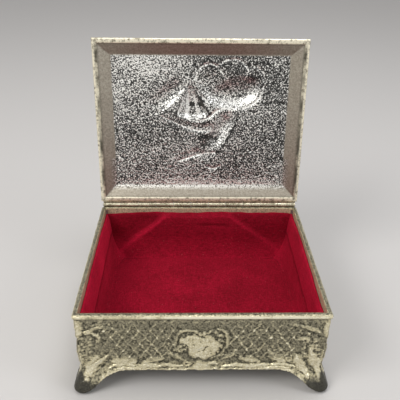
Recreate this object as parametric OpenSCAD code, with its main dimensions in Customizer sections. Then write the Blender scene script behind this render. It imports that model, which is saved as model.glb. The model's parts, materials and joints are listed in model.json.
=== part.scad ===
// Footed trinket box with a hinged lid, cast in silver-plated metal and lined with velvet.
// X runs across the front, Y runs to the back, Z runs up from the table.
// The lid is drawn open, leaning back on its stop.

/* [Box] */
// Width over the lip, left to right
box_w = 127; // [110:0.5:150]
// Depth over the lip, front to back
box_d = 104; // [90:0.5:130]
// Height of the lip's top above the table
box_h = 51; // [44:0.5:65]
// Thickness of a cast wall
wall_t = 1.8; // [1.4:0.1:2.4]
// Height of the lip that runs round the top
lip_h = 3; // [2.6:0.1:4]
// How far the lip stands out from the wall
lip_out = 0.8; // [0.4:0.1:1.2]

/* [Feet and apron] */
// Height of the apron's straight lower edge
apron_z = 12.9; // [9:0.1:14]
// Width of a foot at the table, measured from the lip's line
foot_in = 4.5; // [3.5:0.1:8]
// Length of the curve from the foot up to the apron
apron_run = 23; // [15:0.5:30]
// How far a foot flares out past the lip's line
foot_out = 2.4; // [1:0.1:3.5]
// Height at which a foot is widest
toe_z = 3.8; // [2.5:0.1:6]
// Height at which the flare starts
neck_z = 16; // [14.5:0.1:20]
// Thickness of a foot
foot_t = 2.6; // [2:0.1:3.5]

/* [Ornament] */
// Height of the cartouche's middle above the table
cartouche_z = 30; // [28:0.5:34]
// Width of the cartouche's shield
cartouche_w = 19; // [14:0.5:22]
// How far the cartouche stands out
cartouche_rise = 0.8; // [0.4:0.1:1.4]
// How far the scrolls and leaves on the walls stand out
scroll_rise = 0.9; // [0.3:0.1:1.2]
// How far the apron's bead stands out
bead_rise = 0.5; // [0.3:0.1:1]
// Width of the cartouche's frame and of the apron's bead
rib_w = 1.3; // [0.8:0.1:2]

/* [Lid] */
// Angle that the lid opens to
lid_open = 98; // [92:0.5:110]
// Height of the lid's rim
lid_rim_h = 2.6; // [2:0.1:3.5]
// Width of the rim's flat under face
lid_rim_w = 3; // [2.5:0.1:4]
// Width of the sloping border inside the lid
bevel_w = 6.5; // [4:0.1:10]
// Depth of the sloping border
bevel_h = 4.2; // [2.5:0.1:6]
// Depth of the straight step between rim and border
step_h = 0.8; // [0.4:0.1:1.5]
// Thickness of the lid's panel
lid_t = 1.5; // [1.2:0.1:2.2]
// Height of the raised petals on the lid
petal_rise = 3.2; // [2:0.1:4]
// Height of the raised leaves on the lid
leaf_rise = 2; // [1:0.1:3]

/* [Hinge] */
// Diameter of the hinge pin
pin_d = 1.6; // [1.2:0.1:2]
// Outside diameter of the knuckles
barrel_d = 3.2; // [2.8:0.1:3.6]
// Height of the hinge axis above the lip's top
hinge_rise = 1; // [0.6:0.1:1.4]
// Number of knuckles, box and lid together
knuckle_n = 11; // [5:2:15]
// Thickness of a hinge leaf
leaf_t = 0.6; // [0.4:0.1:0.9]
// Distance from each end of the hinge to the box's side
hinge_inset = 1.2; // [1.2:0.1:12]
// Length of the heels that stop the lid
heel_l = 2.8; // [2.3:0.1:3.4]

/* [Lining] */
// Height of the bottom plate's under side
plate_z = 15; // [14.2:0.1:18]
// Thickness of the bottom plate
plate_t = 1; // [0.6:0.1:1.5]
// Thickness of the floor card and the wall cards
card_t = 0.9; // [0.6:0.1:1.5]
// Thickness of the wadding under the floor velvet
wadding_t = 2.3; // [1:0.1:3]
// Thickness of the velvet
velvet_t = 0.8; // [0.6:0.1:1.2]
// Height of the crown in the middle of the floor velvet
floor_crown = 0.5; // [0:0.1:1.5]
// Distance from the lip's top down to the velvet's upper edge
velvet_drop = 5; // [3.5:0.1:8]
// How far a wall card leans in from its top to its foot
card_lean = 3; // [2:0.1:8]
// How far the velvet rolls out from a wall's foot over the floor
foot_roll = 3; // [0:0.1:5]
// How far the folded middle of the back velvet stands forward
fold_rise = 2.6; // [1:0.1:4]

/* [Clearances] */
// Gap between the closed lid and the lip
seat_gap = 0.15; // [0.1:0.05:0.3]
// Radial play of the pin in its knuckles
pin_play = 0.05; // [0.02:0.01:0.1]
// Gap round the barrel and between knuckles
hinge_gap = 0.3; // [0.2:0.05:0.4]
// Gap between a stop heel and the box's hinge leaf
stop_gap = 0.1; // [0.05:0.05:0.2]
// Gap between neighbouring soft pieces
soft_gap = 0.3; // [0.2:0.05:0.5]

/* [Hidden] */

silver = [0.72, 0.69, 0.60];
bright_silver = [0.80, 0.80, 0.79];
steel = [0.55, 0.55, 0.55];
crimson = [0.55, 0.04, 0.12];
board = [0.62, 0.55, 0.44];
cotton = [0.85, 0.83, 0.78];

big = 400;      // longer than the object, for cutting
bite = 0.2;     // how deep raised work is rooted in what carries it
eps = 0.01;

half_w = box_w / 2;
half_d = box_d / 2;
wall_out = lip_out;               // wall face, measured in from the lip's line
wall_in = lip_out + wall_t;       // inner wall face, measured in from the lip's line
inner_w = half_w - wall_in;
inner_d = half_d - wall_in;

// Hinge axis, and the sizes round it
axis_y = half_d;
axis_z = box_h + hinge_rise;
barrel_r = barrel_d / 2;
bore_r = pin_d / 2 + pin_play;
cove_r = barrel_r + hinge_gap;
hinge_l = box_w - 2 * hinge_inset;
knuckle_pitch = hinge_l / knuckle_n;
lid_back = axis_y - cove_r - leaf_t;  // the closed lid's back edge
head_r = pin_d / 2 + 0.4;
head_t = 0.5;
leaf_low = box_h - lip_h + 0.2;       // lower edge of the box's hinge leaf

// The closed lid, with heights measured up from its rim's under face
lid_seat = box_h + seat_gap;
panel_z = step_h + bevel_h;           // under face of the lid's panel
lid_top = panel_z + lid_t;
slope = bevel_w / bevel_h;
skin = 1.25 * lid_t;                  // thickness of the sloping border, measured upwards
ledge = lid_rim_w + (lid_rim_h - step_h - skin) * slope;
crest = lid_rim_w + (lid_top - step_h - skin) * slope;
lid_mid_y = (lid_back - half_d) / 2;  // middle of the closed lid
lid_half_d = (lid_back + half_d) / 2;

petal_s = 68;   // distance of the highest petal from the hinge line

// Middle of the open object from front to back, where the origin is
function swung(y, z) = [
    axis_y + (y - axis_y) * cos(lid_open) + (z - axis_z) * sin(lid_open),
    axis_z - (y - axis_y) * sin(lid_open) + (z - axis_z) * cos(lid_open)
];
front_y = -half_d - foot_out;
back_y = max([
    swung(-half_d, lid_seat + lid_rim_h)[0],
    swung(-half_d + crest, lid_seat + lid_top)[0],
    swung(half_d - petal_s, lid_seat + lid_top + petal_rise)[0]
]);
mid_y = (front_y + back_y) / 2;

// Lining heights
card_low = plate_z + plate_t;
floor_low = card_low + card_t;
velvet_low = floor_low + wadding_t;
velvet_top = velvet_low + velvet_t;
lining_top = box_h - velvet_drop;

// ---- Cast walls -------------------------------------------------------------------------

// Outer face of a wall, measured out from the lip's line, at height z below the neck
function flare(z) =
    let (u = (neck_z - z) / (neck_z - toe_z))
    z >= toe_z ? -wall_out + (foot_out + wall_out) * pow(sin(90 * u), 2)
               : foot_out - 0.9 * pow((toe_z - z) / toe_z, 2);

flare_steps = 14;
flare_line = [for (i = [0 : flare_steps]) let (z = neck_z * (1 - i / flare_steps)) [flare(z), z]];
plate_ledge = 1.2;                // height and reach of the ledge under the bottom plate
ledge_root = 0.7 * wall_t;
function flare_wall(z) = wall_t + (foot_t - wall_t) * (neck_z - z) / neck_z;

// Section through a wall: x is outwards from the lip's line, y is up
module wall_section() {
    lip_z = box_h - lip_h;
    round_r = 0.6;
    outer = concat(
        [[-wall_in, box_h], [-round_r, box_h]],
        [for (a = [75 : -15 : 0]) [-round_r + round_r * cos(a), box_h - round_r + round_r * sin(a)]],
        [[0, lip_z + 0.5], [-0.2, lip_z], [-wall_out, lip_z - 0.5]],
        flare_line
    );
    inner = [for (i = [flare_steps : -1 : 0]) flare_line[i] - [flare_wall(flare_line[i][1]), 0]];
    polygon(concat(outer, inner));
}

// Point on the apron's lower edge: u runs from 0, where the straight part ends, to 1 at the foot
function apron_point(flat_x, u) = [flat_x + apron_run * u, apron_z * (1 - pow(u, 2.5))];

// What the apron's curve leaves open under a wall whose half length is half
module apron_opening(half) {
    foot_x = half - foot_in;
    flat_x = foot_x - apron_run;
    steps = 16;
    right = [for (i = [0 : steps]) apron_point(flat_x, i / steps)];
    left = [for (p = right) [-p[0], p[1]]];
    polygon(concat([[foot_x, -1]], [for (i = [steps : -1 : 0]) right[i]], left, [[-foot_x, -1]]));
}

// Bead that follows the apron's lower edge
module apron_bead(half) {
    flat_x = half - foot_in - apron_run;
    steps = 10;
    run = [for (i = [0 : steps]) apron_point(flat_x, 0.62 * i / steps)];
    for (side = [0, 1]) mirror([side, 0])
        polygon(concat([[0, apron_z]], run, [for (i = [steps : -1 : 0]) run[i] + [0, rib_w]], [[0, apron_z + rib_w]]));
}

// Raised work is drawn as ridges: chains of points [x, y, half width, share of the rise]
module ridge(points, rise, thin = 0) {
    function boss_h(p) = rise * p[3] + bite;
    for (i = [0 : len(points) - 2]) hull() for (p = [points[i], points[i + 1]])
        translate([p[0], p[1], 0])
            cylinder(r1 = p[2] - thin, r2 = (p[2] - thin) * ridge_top, h = boss_h(p), $fn = ridge_sides);
}
ridge_top = 0.45;     // width of a ridge's top as a share of its foot
ridge_sides = 12;

// Ridges at a wall's end: x is measured in from the lip's corner, y up from the table
corner_ridges = [
    [[1.2, 46, 1.5, 0.5], [1.8, 41.5, 2.2, 0.7], [1.3, 37, 1.2, 0.5]],                          // cap leaf
    [[5, 39.6, 0.8, 0.6], [9, 41.9, 1.4, 0.8], [14.5, 43.2, 1.5, 0.8], [21.5, 41, 0.7, 0.5]],   // long scroll
    [[4.4, 37, 0.9, 0.8], [7.5, 38.3, 1.3, 1], [11.8, 35.4, 1.1, 1], [10, 31.4, 0.8, 0.7]],     // volute
    [[6, 31, 6.5, 0.8], [6, 25, 6, 0.8]],                                                       // knee
    [[16.2, 24, 0.8, 0.5], [12.2, 19.8, 1.9, 0.9], [8, 14.8, 2, 0.9], [4.6, 9.4, 1, 0.7]],      // inner leaf
    [[7.4, 25, 1, 0.9], [6, 19.5, 2.2, 1.1], [4.2, 13.4, 2, 1], [2.8, 9.2, 1, 0.7]],            // outer leaf
    [[18, 18, 1, 0.6], [24, 20.2, 2.2, 0.8], [30, 18.2, 1, 0.6]],                               // band leaf
    [[24, 19, 1.5, 0.8], [24.6, 24.2, 0.8, 0.5]],                                               // its middle lobe
    [[16, 15.4, 0.9, 0.5], [26, 16.4, 1.1, 0.7], [38, 15.9, 1, 0.6], [46, 15.6, 0.8, 0.5]]      // lower band
];

// Shield-shaped boss with a notch at its top
module cartouche_2d() {
    lobe = cartouche_w / 3.4;
    difference() {
        hull() {
            for (side = [-1, 1]) translate([side * (cartouche_w / 2 - lobe), lobe * 0.8]) circle(r = lobe, $fn = 32);
            translate([0, -cartouche_w * 0.4]) circle(r = cartouche_w * 0.14, $fn = 24);
        }
        translate([0, lobe * 2.3]) circle(r = lobe * 0.75, $fn = 24);
    }
}

// Double C-scroll round the shield
module cartouche_frame_2d() {
    frame_w = cartouche_w * 1.36;
    difference() {
        resize([frame_w, frame_w * 0.8]) circle(r = 10, $fn = 48);
        resize([frame_w - 2 * rib_w, frame_w * 0.8 - 2 * rib_w]) circle(r = 10, $fn = 48);
        square([frame_w * 0.3, big], center = true);
    }
}

// Raised work on a wall, drawn flat: x along the wall, y up
module wall_ornament(half) {
    translate([0, cartouche_z]) {
        linear_extrude(cartouche_rise + bite, scale = 0.93) cartouche_2d();
        translate([0, 0.06 * cartouche_w]) linear_extrude(bead_rise + bite) cartouche_frame_2d();
    }
    linear_extrude(bead_rise + bite) apron_bead(half);
    for (side = [0, 1]) mirror([side, 0, 0]) for (points = corner_ridges)
        ridge([for (p = points) [half - p[0], p[1], p[2], p[3] + lift(p[1])]], scroll_rise);
}

// How far the wall's face has flared out at height z, as a share of the scrolls' rise
function lift(z) = max(0, flare(min(z, neck_z)) + wall_out) / scroll_rise;

// One wall that faces -Y, with its middle at x = 0 and the lip's line at y = -reach
module wall(half, reach) {
    intersection() {
        union() {
            difference() {
                translate([-half - 10, -reach, 0]) rotate([90, 0, 90])
                    mirror([1, 0, 0]) linear_extrude(2 * half + 20) wall_section();
                translate([0, -reach + 10, 0]) rotate([90, 0, 0]) linear_extrude(30) apron_opening(half);
            }
            // the raised work
            translate([0, -reach + wall_out + bite, 0]) rotate([90, 0, 0]) wall_ornament(half);
            // the ledge that carries the bottom plate
            translate([-half * 0.6, -reach + wall_in - ledge_root, plate_z - plate_ledge])
                cube([half * 1.2, plate_ledge + ledge_root, plate_ledge]);
        }
        // mitred ends at 45 degrees
        linear_extrude(big, center = true)
            polygon([[0, half - reach], [-half - 10, -reach - 10], [half + 10, -reach - 10]]);
    }
}

module front_panel() {
    color(silver) translate([0, -mid_y, 0]) wall(half_w, half_d);
}

// Cove along the lip for the hinge barrel, from side to side
module hinge_cove() {
    translate([-big / 2, axis_y, axis_z]) rotate([0, 90, 0]) cylinder(r = cove_r, h = big, $fn = 48);
}

module back_panel() {
    color(silver) translate([0, -mid_y, 0]) difference() {
        rotate([0, 0, 180]) wall(half_w, half_d);
        hinge_cove();
    }
}

module left_panel() {
    color(silver) translate([0, -mid_y, 0]) difference() {
        rotate([0, 0, -90]) wall(half_d, half_w);
        hinge_cove();
    }
}

module right_panel() {
    color(silver) translate([0, -mid_y, 0]) difference() {
        rotate([0, 0, 90]) wall(half_d, half_w);
        hinge_cove();
    }
}

// Solder run down the inner corners
module corner_solder() {
    fillet_r = 1.3;
    low = velvet_top;
    high = box_h - 1.5;
    color(steel) translate([0, -mid_y, 0])
        for (sx = [-1, 1], sy = [-1, 1])
            translate([sx * inner_w, sy * inner_d, low])
                mirror([sx > 0 ? 1 : 0, 0, 0]) mirror([0, sy > 0 ? 1 : 0, 0])
                    difference() {
                        cube([fillet_r, fillet_r, high - low]);
                        translate([fillet_r, fillet_r, -1]) cylinder(r = fillet_r, h = high - low + 2, $fn = 32);
                    }
}

module bottom_plate() {
    color(steel) translate([-inner_w, -inner_d - mid_y, plate_z]) cube([2 * inner_w, 2 * inner_d, plate_t]);
}

// ---- Lining -----------------------------------------------------------------------------

module floor_card() {
    color(board) translate([-inner_w + soft_gap, -inner_d + soft_gap - mid_y, card_low])
        cube([2 * (inner_w - soft_gap), 2 * (inner_d - soft_gap), card_t]);
}

// How far in from the inner wall a leaning card's back stands at height z
function card_back(z) = soft_gap / 2 + card_lean * (lining_top - z) / (lining_top - floor_low);
card_foot = card_back(floor_low) + card_t;
floor_w = inner_w - card_foot - soft_gap;
floor_d = inner_d - card_foot - soft_gap;

module floor_wadding() {
    color(cotton) translate([-floor_w, -floor_d - mid_y, floor_low]) cube([2 * floor_w, 2 * floor_d, wadding_t]);
}

// A closed skin over a grid: front(u, v) and back(u, v) give its two faces, for u and v from 0 to 1
module skin(nu, nv, front, back) {
    row = nv + 1;
    count = (nu + 1) * row;
    points = concat(
        [for (i = [0 : nu], j = [0 : nv]) front(i / nu, j / nv)],
        [for (i = [0 : nu], j = [0 : nv]) back(i / nu, j / nv)]
    );
    function at(i, j) = i * row + j;
    faces = concat(
        [for (i = [0 : nu - 1], j = [0 : nv - 1]) each [
            [at(i, j), at(i + 1, j), at(i + 1, j + 1)], [at(i, j), at(i + 1, j + 1), at(i, j + 1)],
            [count + at(i, j), count + at(i + 1, j + 1), count + at(i + 1, j)],
            [count + at(i, j), count + at(i, j + 1), count + at(i + 1, j + 1)]
        ]],
        [for (i = [0 : nu - 1]) each [
            [at(i, 0), count + at(i, 0), count + at(i + 1, 0)], [at(i, 0), count + at(i + 1, 0), at(i + 1, 0)],
            [at(i, nv), count + at(i + 1, nv), count + at(i, nv)], [at(i, nv), at(i + 1, nv), count + at(i + 1, nv)]
        ]],
        [for (j = [0 : nv - 1]) each [
            [at(0, j), count + at(0, j + 1), count + at(0, j)], [at(0, j), at(0, j + 1), count + at(0, j + 1)],
            [at(nu, j), count + at(nu, j), count + at(nu, j + 1)], [at(nu, j), count + at(nu, j + 1), at(nu, j + 1)]
        ]]
    );
    polyhedron(points, faces);
}

// Crowned floor, held down at its edges
module floor_velvet() {
    crown = function (u, v) floor_crown * sqrt(max(0, sin(180 * u) * sin(180 * v)));
    top = function (u, v) [floor_w * (2 * u - 1), floor_d * (2 * v - 1), velvet_top + crown(u, v)];
    under = function (u, v) [floor_w * (2 * u - 1), floor_d * (2 * v - 1), velvet_low];
    color(crimson) translate([0, -mid_y, 0]) skin(24, 20, under, top);
}

// A leaning card on the front wall: half is the inner half length and reach the inner face's place
module wall_card(half, reach) {
    corner_gap = 2;
    section = [[card_back(floor_low), floor_low], [card_back(lining_top), lining_top],
        [card_back(lining_top) + card_t, lining_top], [card_back(floor_low) + card_t, floor_low]];
    intersection() {
        translate([-half, -reach, 0]) rotate([90, 0, 90]) linear_extrude(2 * half) polygon(section);
        linear_extrude(big, center = true)
            polygon([[0, half - reach - corner_gap], [-half + corner_gap, -reach], [half - corner_gap, -reach]]);
    }
}

// Velvet on a leaning card, from the floor velvet to the card's top, in nu strips.
// bulge(x, v) is how far it stands proud at x along the wall and v from 0 to 1 up it
module wall_velvet(half, reach, nu, bulge) {
    low = velvet_top + soft_gap;
    height = function (v) low + v * (lining_top - low);
    depth = function (v) card_back(height(v)) + card_t;
    roll = function (v) foot_roll * pow(max(0, 1 - v / roll_share), 2);
    along = function (u, v) (half - depth(v) - velvet_t - roll(v) - soft_gap) * (2 * u - 1);
    back = function (u, v) [along(u, v), -reach + depth(v), height(v)];
    front = function (u, v) [
        along(u, v),
        -reach + depth(v) + velvet_t * (1 - 0.4 * pow(v, 8)) + roll(v) + bulge(along(u, v), v),
        height(v)
    ];
    skin(nu, 12, back, front);
}
roll_share = 0.35;                // share of a wall's height that the rolled foot takes

// Plain velvet: a soft roll along the upper edge
roll_rise = 0.35;
plain_bulge = function (x, v) roll_rise * pow(sin(180 * min(1, max(0, (v - 0.7) / 0.3))), 2);

// The back velvet's middle stands forward, with a fold running down to each lower corner
fold_top_l = 0.5 * inner_w;       // how far left and right of the middle the fold's top reaches
fold_top_r = 0.3 * inner_w;
fold_corner = 5;                  // distance from the fold's foot to the floor's corner
fold_ramp = 4;                    // width of the slope beside the fold
fold_bulge = function (x, v)
    let (
        foot = floor_w - velvet_t - foot_roll - fold_corner,
        left = -fold_top_l - (1 - v) * (foot - fold_top_l),
        right = fold_top_r + (1 - v) * (foot - fold_top_r),
        ramp = max(0, min(1, (x - left) / fold_ramp, (right - x) / fold_ramp))
    )
    fold_rise * ramp * ramp * (3 - 2 * ramp) * (1 - 0.45 * v);

module front_card() {
    color(board) translate([0, -mid_y, 0]) wall_card(inner_w, inner_d);
}

module back_card() {
    color(board) translate([0, -mid_y, 0]) rotate([0, 0, 180]) wall_card(inner_w, inner_d);
}

module left_card() {
    color(board) translate([0, -mid_y, 0]) rotate([0, 0, -90]) wall_card(inner_d, inner_w);
}

module right_card() {
    color(board) translate([0, -mid_y, 0]) rotate([0, 0, 90]) wall_card(inner_d, inner_w);
}

module front_velvet() {
    color(crimson) translate([0, -mid_y, 0]) wall_velvet(inner_w, inner_d, 20, plain_bulge);
}

module back_velvet() {
    turned = function (x, v) fold_bulge(-x, v);
    color(crimson) translate([0, -mid_y, 0]) rotate([0, 0, 180]) wall_velvet(inner_w, inner_d, 44, turned);
}

module left_velvet() {
    color(crimson) translate([0, -mid_y, 0]) rotate([0, 0, -90]) wall_velvet(inner_d, inner_w, 20, plain_bulge);
}

module right_velvet() {
    color(crimson) translate([0, -mid_y, 0]) rotate([0, 0, 90]) wall_velvet(inner_d, inner_w, 20, plain_bulge);
}

// ---- Hinge ------------------------------------------------------------------------------

// Places a piece that is drawn round the hinge axis, running along X
module at_axis() {
    translate([0, axis_y - mid_y, axis_z]) children();
}

// Turns a piece of the closed lid, drawn round the hinge axis, to where it is when open
module opened() {
    rotate([-lid_open, 0, 0]) children();
}

// Runs its children once for each knuckle of one leaf: first is 0 for the box and 1 for the lid
module each_knuckle(first) {
    for (i = [first : 2 : knuckle_n - 1])
        translate([-hinge_l / 2 + i * knuckle_pitch + hinge_gap / 2, 0, 0]) children();
}

knuckle_l = knuckle_pitch - hinge_gap;

module hinge_leaf_box() {
    color(silver) at_axis() difference() {
        union() {
            // strip soldered to the back of the lip
            translate([-hinge_l / 2, 0, leaf_low - axis_z])
                cube([hinge_l, leaf_t, axis_z - leaf_low - cove_r]);
            each_knuckle(0) {
                rotate([0, 90, 0]) cylinder(r = barrel_r, h = knuckle_l, $fn = 40);
                translate([0, 0, leaf_low - axis_z]) cube([knuckle_l, leaf_t, axis_z - leaf_low]);
            }
        }
        translate([-big / 2, 0, 0]) rotate([0, 90, 0]) cylinder(r = bore_r, h = big, $fn = 32);
    }
}

module hinge_pin() {
    color(steel) at_axis() {
        translate([-hinge_l / 2, 0, 0]) rotate([0, 90, 0]) cylinder(r = pin_d / 2, h = hinge_l, $fn = 32);
        for (side = [0, 1]) mirror([side, 0, 0])
            translate([hinge_l / 2, 0, 0]) rotate([0, 90, 0])
                cylinder(r1 = head_r, r2 = head_r - 0.3, h = head_t, $fn = 32);
    }
}

module hinge_leaf_lid() {
    plate_low = lid_seat - axis_z;
    color(silver) at_axis() opened() difference() {
        union() {
            // strip soldered to the lid's back edge
            translate([-hinge_l / 2, -cove_r - leaf_t, plate_low]) cube([hinge_l, leaf_t, lid_rim_h]);
            each_knuckle(1) {
                rotate([0, 90, 0]) cylinder(r = barrel_r, h = knuckle_l, $fn = 40);
                translate([0, -cove_r - bite, plate_low]) cube([knuckle_l, cove_r + bite, -plate_low + barrel_r * 0.6]);
                // heel that meets the box's leaf when the lid is open
                rotate([lid_open - 90, 0, 0]) translate([0, 0, leaf_t + stop_gap])
                    cube([knuckle_l, heel_l, barrel_r - leaf_t - stop_gap]);
            }
        }
        translate([-big / 2, 0, 0]) rotate([0, 90, 0]) cylinder(r = bore_r, h = big, $fn = 32);
    }
}

// ---- Lid --------------------------------------------------------------------------------

// Block with sloping sides: half sizes a at height za and b at height zb
module sloped(a, za, b, zb) {
    intersection() {
        rotate([90, 0, 0]) linear_extrude(big, center = true)
            polygon([[-a[0], za], [a[0], za], [b[0], zb], [-b[0], zb]]);
        rotate([90, 0, 90]) linear_extrude(big, center = true)
            polygon([[-a[1], za], [a[1], za], [b[1], zb], [-b[1], zb]]);
    }
}

function inset(d) = [half_w - d, lid_half_d - d];

// Ridges of the raised spray: x across, y measured from the hinge line towards the front
petals = [
    [[-2, 76, 2.2, 0.5], [4, 70.4, 3.6, 0.85], [11.5, 67.6, 4.6, 1], [20, 66.9, 5, 1],
        [28, 68.6, 4.6, 0.95], [34, 73, 3.6, 0.75], [36.6, 79, 2, 0.45]],                       // outer petal
    [[9, 76, 8, 0.55], [25, 78, 8, 0.55]],                                                      // its cup
    [[-4.6, 75, 1.4, 0.5], [-4, 66.5, 4.5, 0.8], [-3, 60, 6.8, 0.8]],                           // bud
    [[24, 62.5, 4, 0.65], [20.5, 55, 4, 0.7], [16.5, 48, 3.2, 0.65], [8.6, 36.6, 1.6, 0.4]]     // stem
];
leaves = [
    [[-8, 70, 1.6, 0.6], [-16, 64.4, 2.7, 0.9], [-26, 59.5, 1.4, 0.5]],                         // side leaf
    [[-18, 55.4, 1.4, 0.6], [-10, 51.4, 2.5, 1], [-1, 49.7, 2.6, 1], [9, 50, 1.5, 0.6]],        // middle leaf
    [[-10.4, 31, 1.4, 0.5], [-1, 33.4, 2.5, 0.75], [9, 36, 1.4, 0.5]],                          // low leaf
    [[6, 24.3, 1.6, 0.5], [12, 24.9, 1.6, 0.5]]                                                 // stem's end
];

// The raised spray, on a panel whose face is at z. thin narrows it, for the hollow behind it
module spray(z, thin) {
    for (points = petals) translate([0, 0, z - bite])
        ridge([for (p = points) [p[0], half_d - p[1], p[2], p[3]]], petal_rise, thin);
    for (points = leaves) translate([0, 0, z - bite])
        ridge([for (p = points) [p[0], half_d - p[1], p[2], p[3]]], leaf_rise, thin);
}

spray_thin = 0.8;      // how much narrower the hollow is than the spray, all round

module lid_closed() {
    difference() {
        union() {
            difference() {
                translate([-half_w, -lid_half_d, 0]) cube([box_w, 2 * lid_half_d, lid_rim_h]);
                for (side = [0, 1]) mirror([side, 0, 0])
                    translate([half_w, 0, lid_rim_h]) rotate([0, 45, 0]) cube([0.8, big, 0.8], center = true);
            }
            sloped(inset(ledge), lid_rim_h - eps, inset(crest), lid_top);
            translate([0, -lid_mid_y, 0]) spray(lid_top, 0);
        }
        // the hollow of the lid
        sloped(inset(lid_rim_w), -1, inset(lid_rim_w), step_h + eps);
        sloped(inset(lid_rim_w), step_h, inset(lid_rim_w + bevel_w), panel_z);
        translate([0, -lid_mid_y, 0]) spray(panel_z, spray_thin);
    }
}

module lid() {
    color(bright_silver) at_axis() opened()
        translate([0, lid_mid_y - axis_y, lid_seat - axis_z]) lid_closed();
}

front_panel();
back_panel();
left_panel();
right_panel();
corner_solder();
bottom_plate();
floor_card();
floor_wadding();
floor_velvet();
front_card();
back_card();
left_card();
right_card();
front_velvet();
back_velvet();
left_velvet();
right_velvet();
hinge_leaf_box();
hinge_pin();
hinge_leaf_lid();
lid();
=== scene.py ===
"""Looks of the footed trinket box: worn silver plate over cast relief, and a crimson velvet lining.

Lengths are in millimetres until a mesh is made. A wall's own frame has x along the wall, z up, and an
offset that is measured outwards from the lip's line.
"""

import json
import math

import bpy
import numpy as np
from mathutils import Matrix, Vector


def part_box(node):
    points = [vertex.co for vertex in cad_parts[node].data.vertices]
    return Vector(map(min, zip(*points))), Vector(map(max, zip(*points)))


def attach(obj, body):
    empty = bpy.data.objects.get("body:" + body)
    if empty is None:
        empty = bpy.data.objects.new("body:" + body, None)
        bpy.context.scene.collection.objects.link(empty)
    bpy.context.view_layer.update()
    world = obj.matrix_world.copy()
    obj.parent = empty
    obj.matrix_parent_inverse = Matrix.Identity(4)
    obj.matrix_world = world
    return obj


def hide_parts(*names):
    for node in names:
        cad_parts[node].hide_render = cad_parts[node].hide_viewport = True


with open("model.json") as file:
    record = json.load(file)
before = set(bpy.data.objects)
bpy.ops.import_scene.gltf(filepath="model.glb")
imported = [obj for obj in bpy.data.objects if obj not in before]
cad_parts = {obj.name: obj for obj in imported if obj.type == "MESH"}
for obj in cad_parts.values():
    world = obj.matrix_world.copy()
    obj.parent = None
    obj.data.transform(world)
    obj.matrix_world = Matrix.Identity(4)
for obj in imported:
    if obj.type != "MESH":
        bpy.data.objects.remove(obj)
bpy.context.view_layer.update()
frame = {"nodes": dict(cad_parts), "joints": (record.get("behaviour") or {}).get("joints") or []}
nodes = frame["nodes"]

MM = 0.001


def corners_mm(node):
    """Lowest and highest corner of a CAD node, in millimetres."""
    low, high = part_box(node)
    return np.array(low) / MM, np.array(high) / MM


def unit(value):
    """The value held between 0 and 1."""
    return np.clip(value, 0, 1)


def bell(x, wide):
    """A soft ridge: 1 where x is 0, fading over wide."""
    return np.exp(-((x / wide) ** 2))


def spot(x, z, wide, tall):
    """A soft round patch: 1 where x and z are 0, fading over wide and tall."""
    return np.exp(-((x / wide) ** 2) - (z / tall) ** 2)


# ---- Sizes, read from the frame or the same as in the CAD --------------------------------

front_high = corners_mm("front_panel")[1]
side_low, side_high = corners_mm("left_panel")
card_low, card_high = corners_mm("left_card")
plate_low, plate_high = corners_mm("bottom_plate")
HINGE = frame["joints"][0]
HALF_W = corners_mm("lid")[1][0]              # the lip's line, left and right of the middle
FOOT_OUT = front_high[0] - HALF_W             # how far the feet flare past it
MID_Y = (side_low[1] + side_high[1]) / 2      # the box's middle from front to back
HALF_D = (side_high[1] - side_low[1]) / 2 - FOOT_OUT
LIP_Z = front_high[2]                         # top of the lip
AXIS_Y = HINGE["pos_m"][1] / MM
AXIS_Z = HINGE["pos_m"][2] / MM
LID_OPEN = math.radians(HINGE["range_deg"][1])
INNER_W = plate_high[0]                       # inner faces of the walls
INNER_D = (plate_high[1] - plate_low[1]) / 2
WALL_IN = HALF_W - INNER_W                    # inner face, measured in from the lip's line
VELVET_T = 0.8
CARD_T = 0.9
FLOOR_Z = corners_mm("floor_velvet")[0][2] + VELVET_T     # top of the velvet at the floor's edge
LINING_TOP = card_high[2]
CARD_LEAN = card_high[0] - card_low[0] - CARD_T
CARD_LOW = corners_mm("floor_card")[1][2]

# ---- Sizes of the casting and the lining that only this script needs ---------------------

LIP_OUT = 0.8             # the lip over the plain wall
LIP_FOOT = 2.6            # from the lip's top down to the wall's ornament
NECK_Z = 16.0             # where the wall starts to flare into the feet
TOE_TIP_Z = 2.2
TOE_OUT = FOOT_OUT + 1.3
APRON_Z = 12.9            # the apron's lower edge in the middle, and how far its curve runs
APRON_RUN = 23.0
FOOT_IN = 4.5
FOOT_T = 2.6
SOLE = 1.2
CORNER_R = 1.5
COVE_R = 1.6 + 0.3        # the hinge barrel's radius and its clearance
FOOT_ROLL = 3.0           # the wall velvet's roll onto the floor

rng = np.random.default_rng(7)


# ---- Camera, floor and light -------------------------------------------------------------

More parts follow.
